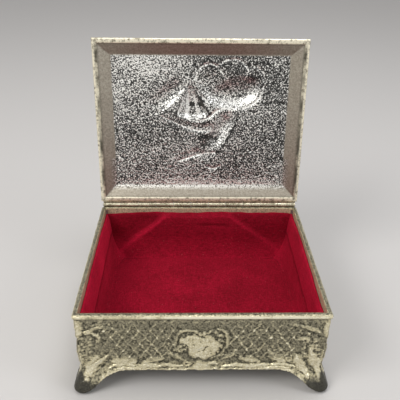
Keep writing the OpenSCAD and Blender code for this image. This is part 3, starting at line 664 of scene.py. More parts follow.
def middle_work(relief):
    """Cartouche: a smooth shield in a frame of scrolls, with a rosette, lobes and a little shell."""
    gx, gz = relief.grid()
    x, z = gx + 0.45 * cloud(gx.shape, 6.0), gz + 0.45 * cloud(gx.shape, 6.0)

    def oval(cx, cz, rx, rz):
        return 1 - ((x - cx) / rx) ** 2 - ((z - cz) / rz) ** 2

    lobes = np.maximum(oval(-5.0, 33.2, 7.3, 5.0), oval(3.2, 31.4, 5.4, 6.4))
    shield = np.maximum(lobes, oval(-0.8, 27.2, 7.8, 6.6))
    shield = np.minimum(shield, -oval(-0.5, 39.6, 3.2, 2.6))
    shield = np.minimum(shield, -oval(-9.6, 27.6, 3.0, 3.8))
    relief.height = np.maximum(relief.height, 0.70 * unit(shield / 0.35) ** 0.5)
    relief.groove([(0.2, 27.4, 0.4), (1.6, 28.8, 0.5), (3.4, 29.8, 0.35)], 0.5)
    pits = ((-4.2, 31.0, 0.55), (-2.2, 26.2, 0.5), (4.6, 24.6, 0.45), (-6.8, 34.4, 0.4), (1.7, 34.8, 0.35))
    for x, z, size in pits:
        relief.groove([(x, z, size), (x + 0.5, z + 0.2, size)], 0.5)
    # frame on the left, with its fellow line
    relief.stroke([(-4.3, 40.6, 0.6), (-7.6, 40.6, 0.9), (-11, 38.9, 1), (-13.1, 35.4, 0.9),
                   (-13.6, 30.8, 0.7), (-12.6, 26.4, 0.5), (-9.8, 22.2, 0.4)], 0.55)
    relief.groove([(-5, 39.6, 0.4), (-8.8, 38.9, 0.5), (-11.7, 36.6, 0.5), (-12.7, 32.6, 0.5)], 0.5)
    relief.groove([(-12.4, 29.8, 0.5), (-11.6, 24.6, 0.6), (-7.8, 20.9, 0.5)], 0.35)
    # frame on the right, with its lobes
    relief.stroke([(8.2, 41.2, 0.6), (10.6, 40, 1.1), (12.3, 37, 1.2), (12.7, 33, 1), (11.8, 28.6, 0.8),
                   (10.2, 24.8, 0.7), (7.4, 21.8, 0.4)], 0.55)
    for lobe in (((8.0, 36.6, 0.6), (9.5, 37.2, 0.95), (10.7, 36.2, 0.4)),
                 ((8.2, 34.2, 0.5), (10.0, 33.6, 1.15), (11.2, 32.8, 0.4)),
                 ((7.6, 31.0, 0.5), (9.0, 29.9, 1.05), (9.5, 28.4, 0.4)),
                 ((6.6, 27.4, 0.5), (7.8, 26.1, 1.05), (7.9, 24.4, 0.4))):
        relief.stroke(lobe, 0.65)
    relief.groove([(10, 38.6, 0.4), (11.6, 34.4, 0.5), (10.4, 29.4, 0.5), (8.7, 24.4, 0.5), (4.2, 21, 0.5)],
                  0.45)
    # rosette in its recess
    for k in range(5):
        angle = math.radians(72 * k + 20)
        relief.bead(-9.4 + 1.45 * math.cos(angle), 28.6 + 1.6 * math.sin(angle), 0.78, 0.65)
    relief.bead(-9.4, 28.6, 0.45, 0.5)
    relief.stroke([(-11.6, 31.2, 0.4), (-12.0, 28.2, 0.7), (-10.9, 25.2, 0.5)], 0.6)
    # shell and curls at the top
    for x, z, turn in ((-3.0, 39.6, 2.4), (-0.9, 38.4, 1.9), (1.4, 38.2, 1.3), (3.6, 39.2, 0.8)):
        dx, dz = math.cos(turn), math.sin(turn)
        tongue = [(x - 0.9 * dx, z - 0.9 * dz, 0.5), (x, z, 0.95), (x + 1.2 * dx, z + 1.2 * dz, 0.5)]
        relief.stroke(tongue, 0.6)
    relief.bead(6.2, 39.6, 0.8, 0.6)
    # patches and scrolls under it
    relief.stroke([(-3.4, 14.8, 1.6), (-0.6, 16.6, 3.0), (2.6, 15.4, 1.6)], 0.45)
    relief.ring(-7.8, 17.0, 1.25, 0.45, 0.6)
    relief.stroke([(3.4, 16.4, 0.6), (5.4, 17.6, 1.25), (7.6, 17.0, 0.6)], 0.55)
    relief.stroke([(4.7, 21.6, 0.4), (9.6, 23.5, 0.55), (15.4, 24.0, 0.4)], 0.5)
    relief.stroke([(-15.0, 22.8, 0.4), (-11.4, 21.2, 0.75), (-8.6, 19.0, 0.4)], 0.5)


def wall_relief(half):
    """A wall's whole relief, with where it is rubbed, where highlights are painted on the lattice's knots,
    and where it is tarnished.
    """
    relief = Relief((-half - 2, half + 2), (-1, LIP_Z + 1))
    gx, gz = relief.grid()
    grain, lumps = cloud(gx.shape, 1.25), cloud(gx.shape, 4.0)
    lattice(relief, half)
    middle_work(relief)
    for side in (-1, 1):
        corner_work(relief, half, side, leafy=side > 0)
    for k in range(int(half / TUFT_PITCH)):     # small tufts under the lip
        for side in (-1, 1):
            x = side * (3.4 + TUFT_PITCH * k)
            relief.stroke([(x - 1.6, 45.6, 0.4), (x, 46.8, 0.8), (x + 1.6, 45.4, 0.4)], 0.32)
    apron_end = half - FOOT_IN - 5
    apron_line = np.arange(-apron_end, apron_end + 0.1, 2.0)
    relief.stroke([(x, float(apron_z(x, half)) + 0.6, 0.5) for x in apron_line], 0.45)
    shift_x, shift_z = 0.28 * cloud(gx.shape, 3.2), 0.28 * cloud(gx.shape, 3.2)
    for field in ("height", "zone", "mark"):     # ragged edges, as casting and wear leave them
        setattr(relief, field, sample_field(relief, getattr(relief, field), gx + shift_x, gz + shift_z))
    relief.height += 0.085 * grain + 0.06 * lumps
    relief.height *= unit((gz - 2.0) / 5.0) * unit((LIP_Z - LIP_FOOT - gz) / 0.8)
    relief.height *= unit((half - np.abs(gx) - 0.35) / 1.1)
    broad, near = blur(relief.height, 7.0), blur(relief.height, 1.1)
    band = unit((20.2 - gz) / 2.5) * unit((gz - 4) / 3)
    zone = np.maximum(relief.zone, 0.85 * band)
    raised = np.clip(((near - 0.17) / 0.42 + 0.75 * zone) * (1 - 0.8 * relief.ground), 0, 1.25)
    relief.raised = np.clip(raised + relief.mark - 0.06 * relief.ground, -0.3, 2.0)
    relief.hollow = unit((broad - near) / 0.25 + 0.25 - 0.25 * zone)
    return relief


# the lip's section: (out from the lip's line, down from its top, how rubbed it is; above 1, a painted
# highlight)
LIP_SECTION = ((-0.62, 2.3, 0.35), (-0.42, 2.1, 0.5), (0.0, 1.92, 1.0), (0.1, 1.55, 1.8), (0.05, 1.12, 2.6),
               (-0.1, 0.7, 2.4), (-0.34, 0.34, 1.0), (-0.66, 0.1, 0.2), (-0.98, 0.0, 0.0))


def wall_piece(node, half, reach, turn, relief, material):
    """One cast wall: its outer relief, the rounded lip, the plain inner face, and mitred ends."""
    corner = CORNER_R * math.pi / 4
    straight = half - CORNER_R
    s = np.concatenate([
        np.linspace(-straight - corner, -straight, 7)[:-1],
        np.linspace(-straight, straight, int(2 * straight / 0.31)),
        np.linspace(straight, straight + corner, 7)[1:],
    ])
    turned = np.sign(s) * np.clip(np.abs(s) - straight, 0, None) / CORNER_R
    line_x = np.clip(s, -straight, straight) + CORNER_R * np.sin(turned)
    line_y = -(reach - CORNER_R) - CORNER_R * np.cos(turned)
    out_x, out_y = np.sin(turned), -np.cos(turned)
    low = apron_z(s, half)
    bands = []      # of (x, y, z, raised, hollow, worn), from the lower edge up, over the lip and down inside

    def band(x, y, z, raised, hollow, worn):
        bands.append([np.broadcast_to(v, z.shape) for v in (x, y, z, raised, hollow, worn)])

    def outward(offset, z, raised, hollow, worn=0.0):
        band(line_x + offset * out_x, line_y + offset * out_y, z, raised, hollow, worn)

    # outer face
    v = np.linspace(0, 1, 142)[:, None]
    z = low + (LIP_Z - LIP_FOOT - low) * v
    edge = unit(1 - (z - low) / 0.8)
    at_s = np.broadcast_to(s, z.shape)
    u = half - np.abs(at_s)
    shelf = 0.15 * unit((z - (LIP_Z - 5)) / 2.4)
    offset = flare(z) + shelf + relief.sample(at_s, z) - 0.55 * edge**2
    foot = unit((10.0 - z) / 4.5) * unit((12.5 - u) / 4)
    ankle = unit((15.5 - z) / 5) * unit((3.6 - u) / 2.4)
    raised = sample_field(relief, relief.raised, at_s, z)
    hollow = sample_field(relief, relief.hollow, at_s, z)
    outward(offset, z, raised, hollow, np.maximum(foot, ankle))

    # lip
    wobble = 0.04 * np.sin(s * 0.21 + reach) + 0.03 * np.sin(s * 0.73)
    # painted highlight along the bead, strongest near s = 14 and uneven; the less rubbed rows under the bead
    # come out darker as painted shade
    fading = (0.42 + 0.58 * bell(s - 14, 38) + 0.45 * wave(s, 0 * s, 71, 1.6))[None, :]
    for out, down, wear_and_highlight in LIP_SECTION:
        outward(out + wobble * (wear_and_highlight > 0.5), (LIP_Z - down + 0 * s)[None, :], wear_and_highlight * fading,
                max(0.4 - 0.33 * wear_and_highlight, -0.2))

    # flat top, drawn straight between the mitres, then the inner face
    share = s / s[-1]
    top_x, top_y = bands[-1][0][0], bands[-1][1][0]
    # hollow of 0.75 paints the flat top dark, standing in for its dark reflection of the lining
    for part, drop, raised, hollow in ((1 / 3, 0, 0, 0.75), (2 / 3, 0, 0, 0.75), (1, 0.12, 0.8, 0.3)):
        band((top_x * (1 - part) + share * (half - WALL_IN) * part)[None, :],
             (top_y * (1 - part) - (reach - WALL_IN) * part)[None, :], (LIP_Z - drop + 0 * s)[None, :],
             raised, hollow, 0.0)
    depth = 1 - np.linspace(0.02, 1, 26)[:, None] ** 1.3
    z_in = low + (LIP_Z - 0.12 - low) * depth
    thick = WALL_IN - LIP_OUT + (FOOT_T - WALL_IN + LIP_OUT) * unit((NECK_Z - z_in) / NECK_Z)
    in_offset = np.where(z_in > NECK_Z, -WALL_IN, flare(z_in) - thick)
    dull = 0.9 * np.clip((7 - z_in) / 5, -1, 1)
    band(share * (half + in_offset), -(reach + in_offset), z_in, 0.75, 0.35, dull)

    x, y, z, raised, hollow, worn = (np.vstack(rows) for rows in zip(*bands))
    cos, sin = round(math.cos(turn)), round(math.sin(turn))
    x, y = x * cos - y * sin, x * sin + y * cos + MID_Y
    near = np.hypot(y - AXIS_Y, z - AXIS_Z)       # the cove for the hinge barrel
    push = np.where(near < COVE_R, COVE_R / np.maximum(near, 1e-6), 1)
    y, z = AXIS_Y + (y - AXIS_Y) * push, AXIS_Z + (z - AXIS_Z) * push
    piece = tube_mesh(node.replace("_panel", "_wall"), np.stack([x, y, z], -1),
                      {"raised": raised, "hollow": hollow, "worn": worn})
    piece.data.materials.append(material)
    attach(piece, "box")
    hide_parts(node)
    return piece


def grid_faces(index):
    """Four-sided faces between the rows and columns of a grid of point numbers."""
    return np.stack([index[:-1, :-1], index[:-1, 1:], index[1:, 1:], index[1:, :-1]], -1).reshape(-1, 4)


def grid_border(index):
    """The point numbers round a grid's border, in order."""
    return np.concatenate([index[0, :-1], index[:-1, -1], index[-1, :0:-1], index[:0:-1, 0]])


def tube_mesh(name, points, values):
    """A closed mesh from loops: points[row, column] run round the section by rows and along it by columns."""
    index = np.arange(points[..., 0].size).reshape(points.shape[:2])
    faces = grid_faces(np.vstack([index, index[:1]])).tolist()
    faces += [index[:, 0].tolist(), index[::-1, -1].tolist()]
    return make_piece(name, points.reshape(-1, 3), faces, {k: v.reshape(-1) for k, v in values.items()})


def make_piece(name, points, faces, values=None):
    """A mesh object from points in millimetres. values are named numbers at its points."""
    mesh = bpy.data.meshes.new(name)
    mesh.from_pydata((np.asarray(points) * MM).tolist(), [], faces)
    for key, numbers in (values or {}).items():
        layer = mesh.attributes.new(key, "FLOAT", "POINT")
        layer.data.foreach_set("value", np.asarray(numbers, np.float32))
    mesh.polygons.foreach_set("use_smooth", [True] * len(mesh.polygons))
    mesh.update()
    piece = bpy.data.objects.new(name, mesh)
    bpy.context.scene.collection.objects.link(piece)
    return piece


# ---- Lid ---------------------------------------------------------------------------------

LID_BACK = HALF_D - (COVE_R + 0.6)     # the closed lid's back edge, from the box's middle
LID_S = (HALF_D - LID_BACK, 2 * HALF_D)      # its back and front edges, from the box's back lip line
SEAT = 0.15               # the closed lid's rim over the lip
RIM_H = 2.6
RIM_W = 3.0
STEP = 0.8
BEVEL_W = 6.5
BEVEL_H = 4.2
BEVEL_END = RIM_W + BEVEL_W
PANEL = STEP + BEVEL_H    # height of the panel's inner face over the rim
TOP = PANEL + 1.5
SLOPE_T = 1.875           # the slope's thickness, measured upright
GADROON = 3.2             # pitch of the flutes on the outer slope

# patches that catch more light or less: (x, s, half width, half height, how much)
LID_LIGHT = ((-32, 88, 24, 13, 0.6), (0, 12, 60, 4, 1.2), (46, 80, 16, 18, -0.35), (48, 44, 14, 30, -0.35),
             (14, 90, 22, 9, -0.8), (-30, 50, 24, 10, -0.6), (-36, 26, 20, 12, -0.3), (24, 76, 13, 6, -0.5),
             (20, 36, 22, 26, -0.35), (18, 66, 13, 3.0, 1.4), (33, 71, 4.5, 5, 0.8), (-18, 66, 9, 3.5, 0.5),
             (4, 43.5, 4, 4, -0.8), (34, 80.5, 5, 2.0, -0.6), (14, 50, 3, 9, 0.5), (0, 66.5, 2, 3.5, -1.2))


def hollow_spray(relief, light):
    """The flower spray as its hollow back: x across, and s measured from the hinge line to the front.
    light gets the painted light and shade: where the metal is painted brighter or darker than its ground."""
    gx, gs = relief.grid()
    # the open flower's lower edge, and painted shade inside it
    relief.bank([(-7, 78.5, 0.2), (-3, 74, 0.4), (1, 70.5, 0.55), (4.6, 66, 0.8), (11, 62.8, 1),
                 (20, 61.7, 1), (29, 64.4, 1), (34, 68.4, 0.95), (37.4, 75.5, 0.6), (38.6, 79.5, 0.2)],
                3.9, 1, 7.0, 15)
    flower = 1 - ((gx - 17.5) / 21.5) ** 2 - ((gs - 77) / 14.6) ** 2
    light.height -= 0.5 * unit(flower / 0.10)
    # the broad leaf on the left and the stem
    relief.bank([(-29, 58.2, 0.2), (-22, 62.2, 0.8), (-15.4, 67, 1), (-10.6, 72.2, 0.9), (-7.6, 78, 0.3)],
                2.0, 1, 4.4, 8)
    relief.bank([(22.4, 60.1, 0.3), (20.2, 51.6, 1), (16.7, 45.3, 1), (13.2, 39, 0.9), (9.6, 34.8, 0.4)],
                2.8, -1, 5.2, 6)
    relief.height = blur(relief.height, 5.0)
    furled_bud(relief, light)
    # the narrow leaf under the bud and the leaf at the foot
    relief.bank([(-22, 55.6, 0.2), (-13, 52.2, 0.7), (-7.5, 49.6, 1), (-0.4, 48.4, 1), (7.4, 48.6, 0.9),
                 (12, 48.2, 0.3)], 0.7, 1, 1.3, 4)
    relief.bank([(-14, 28.4, 0.2), (-5, 31.7, 0.9), (1, 33.6, 1), (9.6, 34.8, 0.4)], 0.6, 1, 1.0, 4)
    # crisp edges of the calyx, leaves, petals, foot leaf and flower, each with a painted highlight and how
    # bright it is
    for bright, *points in (
            (1.2, (-9, 55.6, 0.3), (-3, 54.4, 0.4), (1.5, 55.0, 0.5), (6.4, 57.4, 0.8), (9.6, 60.4, 1.0),
             (13, 61.8, 0.8), (20.6, 61.6, 0.5)),
            (1.4, (-26, 58.4, 0.3), (-18, 54.4, 0.5), (-10, 50.8, 0.7), (-2, 48.4, 0.7), (6.8, 48.2, 0.6),
             (11.6, 47.8, 0.4)),
            (0.9, (-28.4, 58.6, 0.3), (-21, 63.6, 0.6), (-14.6, 69, 0.7), (-10.4, 74, 0.6), (-8, 78, 0.3)),
            (1.2, (-3, 79, 0.4), (-1.4, 85.4, 0.7), (4, 88.8, 0.8), (10, 87.4, 0.7), (14.6, 82.0, 0.6),
             (19.4, 75.0, 0.6), (25.6, 70.4, 0.3)),
            (1.1, (10, 87.4, 0.4), (15, 91.2, 0.7), (22.6, 91.4, 0.8), (28, 87.0, 0.6), (27.2, 80.8, 0.6),
             (22.6, 76.6, 0.4)),
            (1.1, (28, 87.0, 0.3), (33.4, 87.6, 0.6), (38.0, 83.6, 0.6), (38.6, 78.6, 0.3)),
            (1.0, (4.2, 82.0, 0.3), (7.0, 76.0, 0.6), (12.6, 71.4, 0.6), (18.0, 69.4, 0.3)),
            (1.6, (-14, 28.2, 0.4), (-5, 31.4, 0.6), (1, 33.2, 0.7), (9.6, 34.0, 0.6)),
            (1.2, (5.4, 24.8, 0.4), (8.4, 23.4, 0.7), (12.6, 25.0, 0.4)),
            (1.1, (-6.6, 78.6, 0.4), (-4, 74.6, 0.6), (0, 70.2, 0.6), (4.4, 66.6, 0.5)),
            (1.2, (25, 62.0, 0.4), (31, 64.4, 0.6), (35.8, 69.0, 0.6), (38.6, 76, 0.4))):
        relief.stroke(points, 0.9)
        light.stroke(points, bright)
    # painted shade beside the stem and the bud and under the leaves
    for dark, *points in (
            (1.3, (23.4, 59, 0.6), (21.2, 51, 0.8), (17.8, 44.6, 0.8), (14.2, 38.2, 0.8), (10.6, 33.6, 0.6)),
            (1.6, (-7.3, 77, 0.3), (-11, 67.6, 0.5), (-15.2, 57.8, 0.5)),
            (2.0, (-5.4, 77, 0.4), (-1.2, 69.4, 0.7), (2.8, 62.6, 0.8), (6.4, 58.6, 0.5)),
            (1.2, (-2, 52.6, 0.4), (2.4, 52.8, 0.8), (6.8, 54.8, 0.6)),
            (1.2, (-1, 44.6, 0.8), (5, 44.0, 1.6), (9.8, 42.6, 1.0)),
            (0.8, (2, 38, 0.6), (6.6, 39.6, 0.9), (9.8, 40.4, 0.6))):
        light.groove(points, dark)
    # veins of the leaves, each from its foot to its tip, cut in and darkened with painted shade
    for x, s, tip_x, tip_s in ((-14, 52.6, -12, 54.2), (-8.5, 49.8, -5.6, 51.8), (-22, 63, -24, 66.5),
                               (-17, 66.4, -19.6, 70.6), (-12.6, 70.4, -15.4, 75), (-2, 48.6, 1.2, 51.4),
                               (-6, 32.4, -3.4, 34.6), (0, 34.2, 2.8, 36.8)):
        width = 0.4 if tip_x < x else 0.35
        vein = [(x, s, width), (tip_x, tip_s, width - 0.05)]
        relief.groove(vein, 0.5)
        light.groove(vein, 0.8)


def furled_bud(relief, light):
    """The bud's hollow back: a folded cone with its peak at the top, and painted light and shade on facets
    that fan out from it.
    """
    gx, gs = relief.grid()
    down = unit((78.5 - gs) / 22.5)
    across = (gx + 6.8 - 2.4 * down) / (0.4 + 10.9 * down)      # -1 at its left edge, 1 at its right one
    base = 55.2 + 2.6 * np.clip(across, -1, 1) ** 2
    inside = (np.abs(across) < 1) & (gs > base - 1) & (gs < 78)
    fold = np.interp(across, [-1, -0.16, 0.2, 0.7, 1], [0.1, 1, 0.62, 0.8, 0])
    bud = 3.4 * np.sin(math.pi / 2 * unit(down * 1.5)) * fold * unit((gs - base) / 2.6)
    relief.height = np.where(inside, np.maximum(bud, 0.4 * relief.height), relief.height)
    # the facets' painted light and shade, lighter and darker by turns across the bud
    facets = np.interp(across, *zip((-1, 1.0), (-0.93, 1.2), (-0.74, 0.8), (-0.66, -2.4), (-0.56, -2.0),
                                    (-0.48, 1.4), (-0.24, 1.6), (-0.15, -4.2), (0.18, -3.4), (0.27, 1.6),
                                    (0.52, 0.8), (0.62, -3.0), (0.93, -2.6), (1, 0.6)))
    light.height += facets * inside * unit(gs - base) * unit((down - 0.1) / 0.3)


def petal(relief, x, z, wide, tall, turn, height):
    """A petal laid over what is there: an oval with a dished middle and a turned-up rim."""
    gx, gz = relief.grid()
    dx, dz = gx - x, gz - z
    a, b = dx * math.cos(turn) + dz * math.sin(turn), dz * math.cos(turn) - dx * math.sin(turn)
    r = np.hypot(a / wide, b / tall)
    dish = height * (0.62 + 0.38 * unit(r) ** 3) * unit((1 - r) * 9) ** 0.5
    relief.height = np.where(r < 1, np.maximum(dish, 0.55 * relief.height), relief.height)


def veined_leaf(relief, points, height):
    """A pointed leaf with a midrib and side veins."""
    relief.leaf(points, height, 1, 0.0)
    line = smooth_line(points)
    relief.groove([(x, z, 0.35) for x, z, _ in points], 0.6)
    for k in np.linspace(0.2, 0.8, 5):
        x, z, width = line[int(k * (len(line) - 1))]
        tx, tz = (line[-1, :2] - line[0, :2]) / np.hypot(*(line[-1, :2] - line[0, :2]))
        for side in (-1, 1):
            tip = (x + 0.8 * width * (tx - side * tz), z + 0.8 * width * (tz + side * tx))
            relief.groove([(x, z, 0.3), (*tip, 0.22)], 0.4)


def rose_spray(relief):
    """The outside: an open rose, a bud, leaves and a stem, over the hollows that show inside."""
    relief.stroke([(20, 62, 1.5), (18, 52, 1.3), (13.6, 43, 1.3), (8.4, 34, 1.3), (6.4, 23, 1.0)], 1.9)
    relief.stroke([(10, 37, 1.1), (3, 44.5, 1.0), (-2.6, 56, 1.1)], 1.6)
    veined_leaf(relief, [(-29, 57.6, 0.4), (-21, 61.6, 4.4), (-13.4, 66.4, 4.8), (-7.6, 73.4, 0.6)], 2.1)
    veined_leaf(relief, [(-21, 54.6, 0.4), (-12, 51.6, 3.4), (-2, 49.8, 3.6), (7.4, 49.2, 0.6)], 2.0)
    veined_leaf(relief, [(-13.4, 28.6, 0.4), (-5, 32.4, 3.2), (2.6, 34.6, 3.2), (9.6, 36.0, 0.6)], 1.9)
    veined_leaf(relief, [(33, 44, 0.4), (27.4, 47.6, 2.8), (22, 49.2, 2.8), (17.4, 50.0, 0.6)], 1.7)
    petal(relief, -4.6, 65.6, 6.6, 10.6, 0.10, 2.2)
    petal(relief, -7.0, 63.6, 4.4, 9.0, -0.22, 2.6)
    petal(relief, -1.6, 63.0, 4.2, 8.6, 0.30, 2.9)
    for tip_x, tip_z in ((-11.4, 63.4), (-4.4, 65.6), (3.0, 63.2)):
        middle = ((tip_x - 3.6) / 2, (tip_z + 55.2) / 2, 1.6)
        relief.leaf([(-3.6, 55.2, 1.0), middle, (tip_x, tip_z, 0.3)], 3.1, 1, 0.1)
    for k in range(6):
        turn = math.tau * k / 6 + 0.35
        petal(relief, 17.5 + 11.0 * math.cos(turn), 75 + 8.6 * math.sin(turn), 7.6, 9.4, turn,
              2.2 + 0.25 * (k % 3))
    rings = (5, 5.8, 6.2, 2.9, 0.9), (4, 3.0, 4.6, 3.4, 0.2), (3, 1.4, 3.0, 3.7, 1.2)
    for count, out, wide, height, start in rings:
        for k in range(count):
            turn = math.tau * k / count + start
            petal(relief, 17.5 + out * math.cos(turn), 75 + 0.9 * out * math.sin(turn), 0.8 * wide, wide,
                  turn, height + 0.12 * (k % 2))
    relief.bead(17.5, 75, 1.2, 3.8)


def lid_inset(x, s):
    """How far a point is in from the lid's edge."""
    return np.minimum(HALF_W - np.abs(x), np.minimum(s - LID_S[0], LID_S[1] - s))


def lid_grid(fine):
    """x and s of a face's points, which are closer together on the rim and the step."""
    edge = np.arange(0, RIM_W + 1.2, 0.45)
    lines = []
    for low, high in ((-HALF_W, HALF_W), LID_S):
        middle = np.linspace(low + edge[-1], high - edge[-1], int((high - low - 2 * edge[-1]) / fine))
        lines.append(np.concatenate([low + edge[:-1], middle, high - edge[:-1][::-1]]))
    return np.meshgrid(*lines)


def inner_face(hollow, light):
    """The lid's inner face: its points, and the values that its material reads."""
    x, s = lid_grid(0.47)
    inset = lid_inset(x, s)
    h = np.interp(inset, *zip((0, 0.35), (0.2, 0.08), (0.5, 0), (RIM_W - 0.5, 0), (RIM_W - 0.1, 0.25),
                              (RIM_W + 0.25, 0.85), (RIM_W + 0.7, STEP + 0.15), (BEVEL_END, PANEL - 0.1),
                              (BEVEL_END + 0.5, PANEL), (99, PANEL)))
    h = h + hollow.sample(x, s) * unit((inset - BEVEL_END - 0.5) / 2)
    flat = unit((inset - BEVEL_END - 0.2) / 0.6)
    bare = unit((sample_field(hollow, hollow.slope, x, s) - 0.20) / 0.40)      # steep parts have no stipple
    h = h + flat * (1 - 0.8 * bare) * 0.06 * cloud(x.shape, 0.75)
    # glow: painted light and shade, from the spray's light map and the listed patches
    glow = 1.1 * light.sample(x, s)
    for at_x, at_s, wide, tall, much in LID_LIGHT:
        glow = glow + much * spot(x - at_x, s - at_s, wide, tall)
    spill = unit((inset - RIM_W - 3.6) / 3.0) * (s < 30) * (1 - flat)
    # line: painted shade in the step at the rim's inner edge; side: olive patina on the side rims
    line = 0.8 * unit(1 - np.abs(inset - RIM_W - 0.25) / 0.45)
    side = 0.6 * unit((inset - 1.1) / 0.7) * (inset < RIM_W) * (HALF_W - np.abs(x) < RIM_W)
    uneven = 0.8 + 0.5 * (x > 0) * unit((95 - s) / 40) + 1.6 * wave(s, 0 * s, 81, 3.0)
    return np.stack([x, s, h], -1), {
        "panel": np.maximum(flat, 0.8 * spill), "rim": unit((RIM_W + 0.3 - inset) / 0.5), "glow": glow,
        "polish": bare * flat, "hollow": np.maximum(line, side * np.clip(uneven, 0.2, 1.5))}


def outer_face(outer):
    """The lid's outer face: its points, and the values that its material reads."""
    x, s = lid_grid(0.62)
    inset = lid_inset(x, s)
    ledge = RIM_W + (RIM_H - STEP - SLOPE_T) * BEVEL_W / BEVEL_H
    crest = RIM_W + (TOP - STEP - SLOPE_T) * BEVEL_W / BEVEL_H
    h = np.interp(inset, *zip((0, RIM_H - 0.5), (0.15, RIM_H - 0.18), (0.5, RIM_H), (ledge - 0.4, RIM_H),
                              (ledge + 0.5, RIM_H + 0.3), (crest, TOP + 0.1), (crest + 0.6, TOP + 0.45),
                              (crest + 1.4, TOP), (99, TOP)))
    along = np.where(HALF_W - np.abs(x) < np.minimum(s - LID_S[0], LID_S[1] - s), s, x)
    flutes = np.abs(np.sin(along * math.pi / GADROON))
    slope = unit(np.sin(math.pi * unit((inset - ledge) / (crest - ledge))))
    h = h + 0.55 * slope * (flutes**0.6 - 0.5) + outer.sample(x, s) * unit((inset - crest - 1.5) / 2)
    swell = sample_field(outer, blur(outer.height, 0.8) - blur(outer.height, 5.0), x, s)
    wear_and_highlight = 0.9 * unit(1 - np.abs(inset - 6.5) / 4.5) * (0.35 + 0.65 * flutes) + 0.9 * (inset < RIM_W)
    return np.stack([x, s, h], -1), {"raised": unit(swell / 0.45 + wear_and_highlight), "hollow": unit(0.3 - swell / 0.5)}


def join_rings(points, first, second):
    """Triangles between two closed rings that have different numbers of points."""

    def laps(ring):
        """How far round its ring each point lies, then 1 for the way back and a value past the end."""
        p = points[ring][:, :2]
        step = np.hypot(*(np.roll(p, -1, 0) - p).T)
        return np.concatenate([[0], np.cumsum(step)[:-1], [step.sum(), 9 * step.sum()]]) / step.sum()

    faces, lap_a, lap_b = [], laps(first), laps(second)
    i = j = 0
    while i < len(first) or j < len(second):
        corners = [int(first[i % len(first)]), int(second[j % len(second)])]
        if lap_a[i + 1] <= lap_b[j + 1]:
            i += 1
            faces.append(corners + [int(first[i % len(first)])])
        else:
            j += 1
            faces.append(corners + [int(second[j % len(second)])])
    return faces


def lid_mesh(material_in, material_out):
    """The lid as one closed shell: its inner face, its rim and its outer face."""
    hollow, light, outer = (Relief((-HALF_W, HALF_W), LID_S, 0.25) for _ in range(3))
    hollow_spray(hollow, light)
    hollow.height = blur(hollow.height, 1.7)
    hollow.slope = np.hypot(*np.gradient(blur(hollow.height, 2.0), hollow.pitch))
    rose_spray(outer)
    outer.height = np.maximum(blur(outer.height, 1.2), hollow.height - 0.7)
    outer.height = outer.height + 0.07 * cloud(outer.height.shape, 1.6) * (outer.height < 0.3)

    faces, material_numbers, rings, count = [], [], [], 0
    sides = inner_face(hollow, light), outer_face(outer)
    for number, (grid, _) in enumerate(sides):
        index = count + np.arange(grid[..., 0].size).reshape(grid.shape[:2])
        quads = grid_faces(index)
        faces += (quads[:, ::-1] if number else quads).tolist()
        material_numbers += [number] * len(quads)
        rings.append(grid_border(index))
        count += index.size
    points = np.vstack([grid.reshape(-1, 3) for grid, _ in sides])
    rim_side = join_rings(points, *rings)
    values = {name: np.concatenate([read.get(name, 0 * grid[..., 0]).reshape(-1) for grid, read in sides])
              for name in ("panel", "rim", "raised", "polish", "glow", "hollow", "worn")}
    # from the closed lid to the open one, about the hinge's axis
    x, s, h = points.T
    dy, dz = HALF_D - s + MID_Y - AXIS_Y, h + LIP_Z + SEAT - AXIS_Z
    cos, sin = math.cos(-LID_OPEN), math.sin(-LID_OPEN)
    placed = np.stack([x, AXIS_Y + dy * cos - dz * sin, AXIS_Z + dy * sin + dz * cos], -1)
    piece = make_piece("lid_shell", placed, faces + rim_side, values)
    piece.data.materials.append(material_in)
    piece.data.materials.append(material_out)
    piece.data.polygons.foreach_set("material_index", material_numbers + [1] * len(rim_side))
    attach(piece, "lid")
    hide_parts("lid")
    return piece


# ---- Lining ------------------------------------------------------------------------------

def card_front(z):
    """How far in from the wall a leaning card's front stands."""
    return 0.15 + CARD_LEAN * (LINING_TOP - z) / (LINING_TOP - CARD_LOW) + CARD_T


def skin_mesh(name, front, back, values=None):
    """A closed sheet from two grids of points with the same shape. values are given for one grid."""
    index = np.arange(front[..., 0].size).reshape(front.shape[:2])
    quads, ring = grid_faces(index), grid_border(index)
    after = np.roll(ring, -1)
    side = np.stack([ring, ring + index.size, after + index.size, after], -1)
    faces = quads.tolist() + (quads[:, ::-1] + index.size).tolist() + side.tolist()
    both = {key: np.tile(numbers.reshape(-1), 2) for key, numbers in (values or {}).items()}
    return make_piece(name, np.vstack([front.reshape(-1, 3), back.reshape(-1, 3)]), faces, both)


def velvet_section():
    """The wall velvet's front and back as rows of (in from the wall, z), from its foot to over the card."""
    low = FLOOR_Z - 0.05
    # (z, how far in front of the card's skin)
    proud = [(low, FOOT_ROLL + 0.6), (low + 4, 0.32 * FOOT_ROLL), (27.5, 0.5), (31, 0.35), (33.5, 0.4),
             (36, 0.5), (40, 0.5), (43.5, 0.35), (45.6, -0.1)]
    front = [(card_front(z) + VELVET_T + more, z) for z, more in proud]
    front[1:1] = [(card_front(low) + VELVET_T + more, low + up) for up, more in ((0.45, FOOT_ROLL - 0.6),
                                                                                 (1.8, 0.55 * FOOT_ROLL))]
    front += [(1.25, 46.7), (0.75, 46.95), (0.25, 46.7)]            # over the card's top
    back = [(card_front(z) + 0.03, z) for _, z in front[:10]]
    back[0] = (back[0][0], low - 0.1)
    back += [(card_front(45.6) + 0.03, 45.6), (card_front(46) - 0.1, 46.07), (0.6, 46.09), (0.18, 46.07)]
    at = np.arange(len(front))
    rows = np.linspace(0, at[-1], 66)
    lines = [np.stack([np.interp(rows, at, column) for column in zip(*line)], -1) for line in (front, back)]
    for line in lines:
        for _ in range(3):       # soften the section's corners, but keep its ends
            line[1:-1] = (line[:-2] + 2 * line[1:-1] + line[2:]) / 4
    return lines


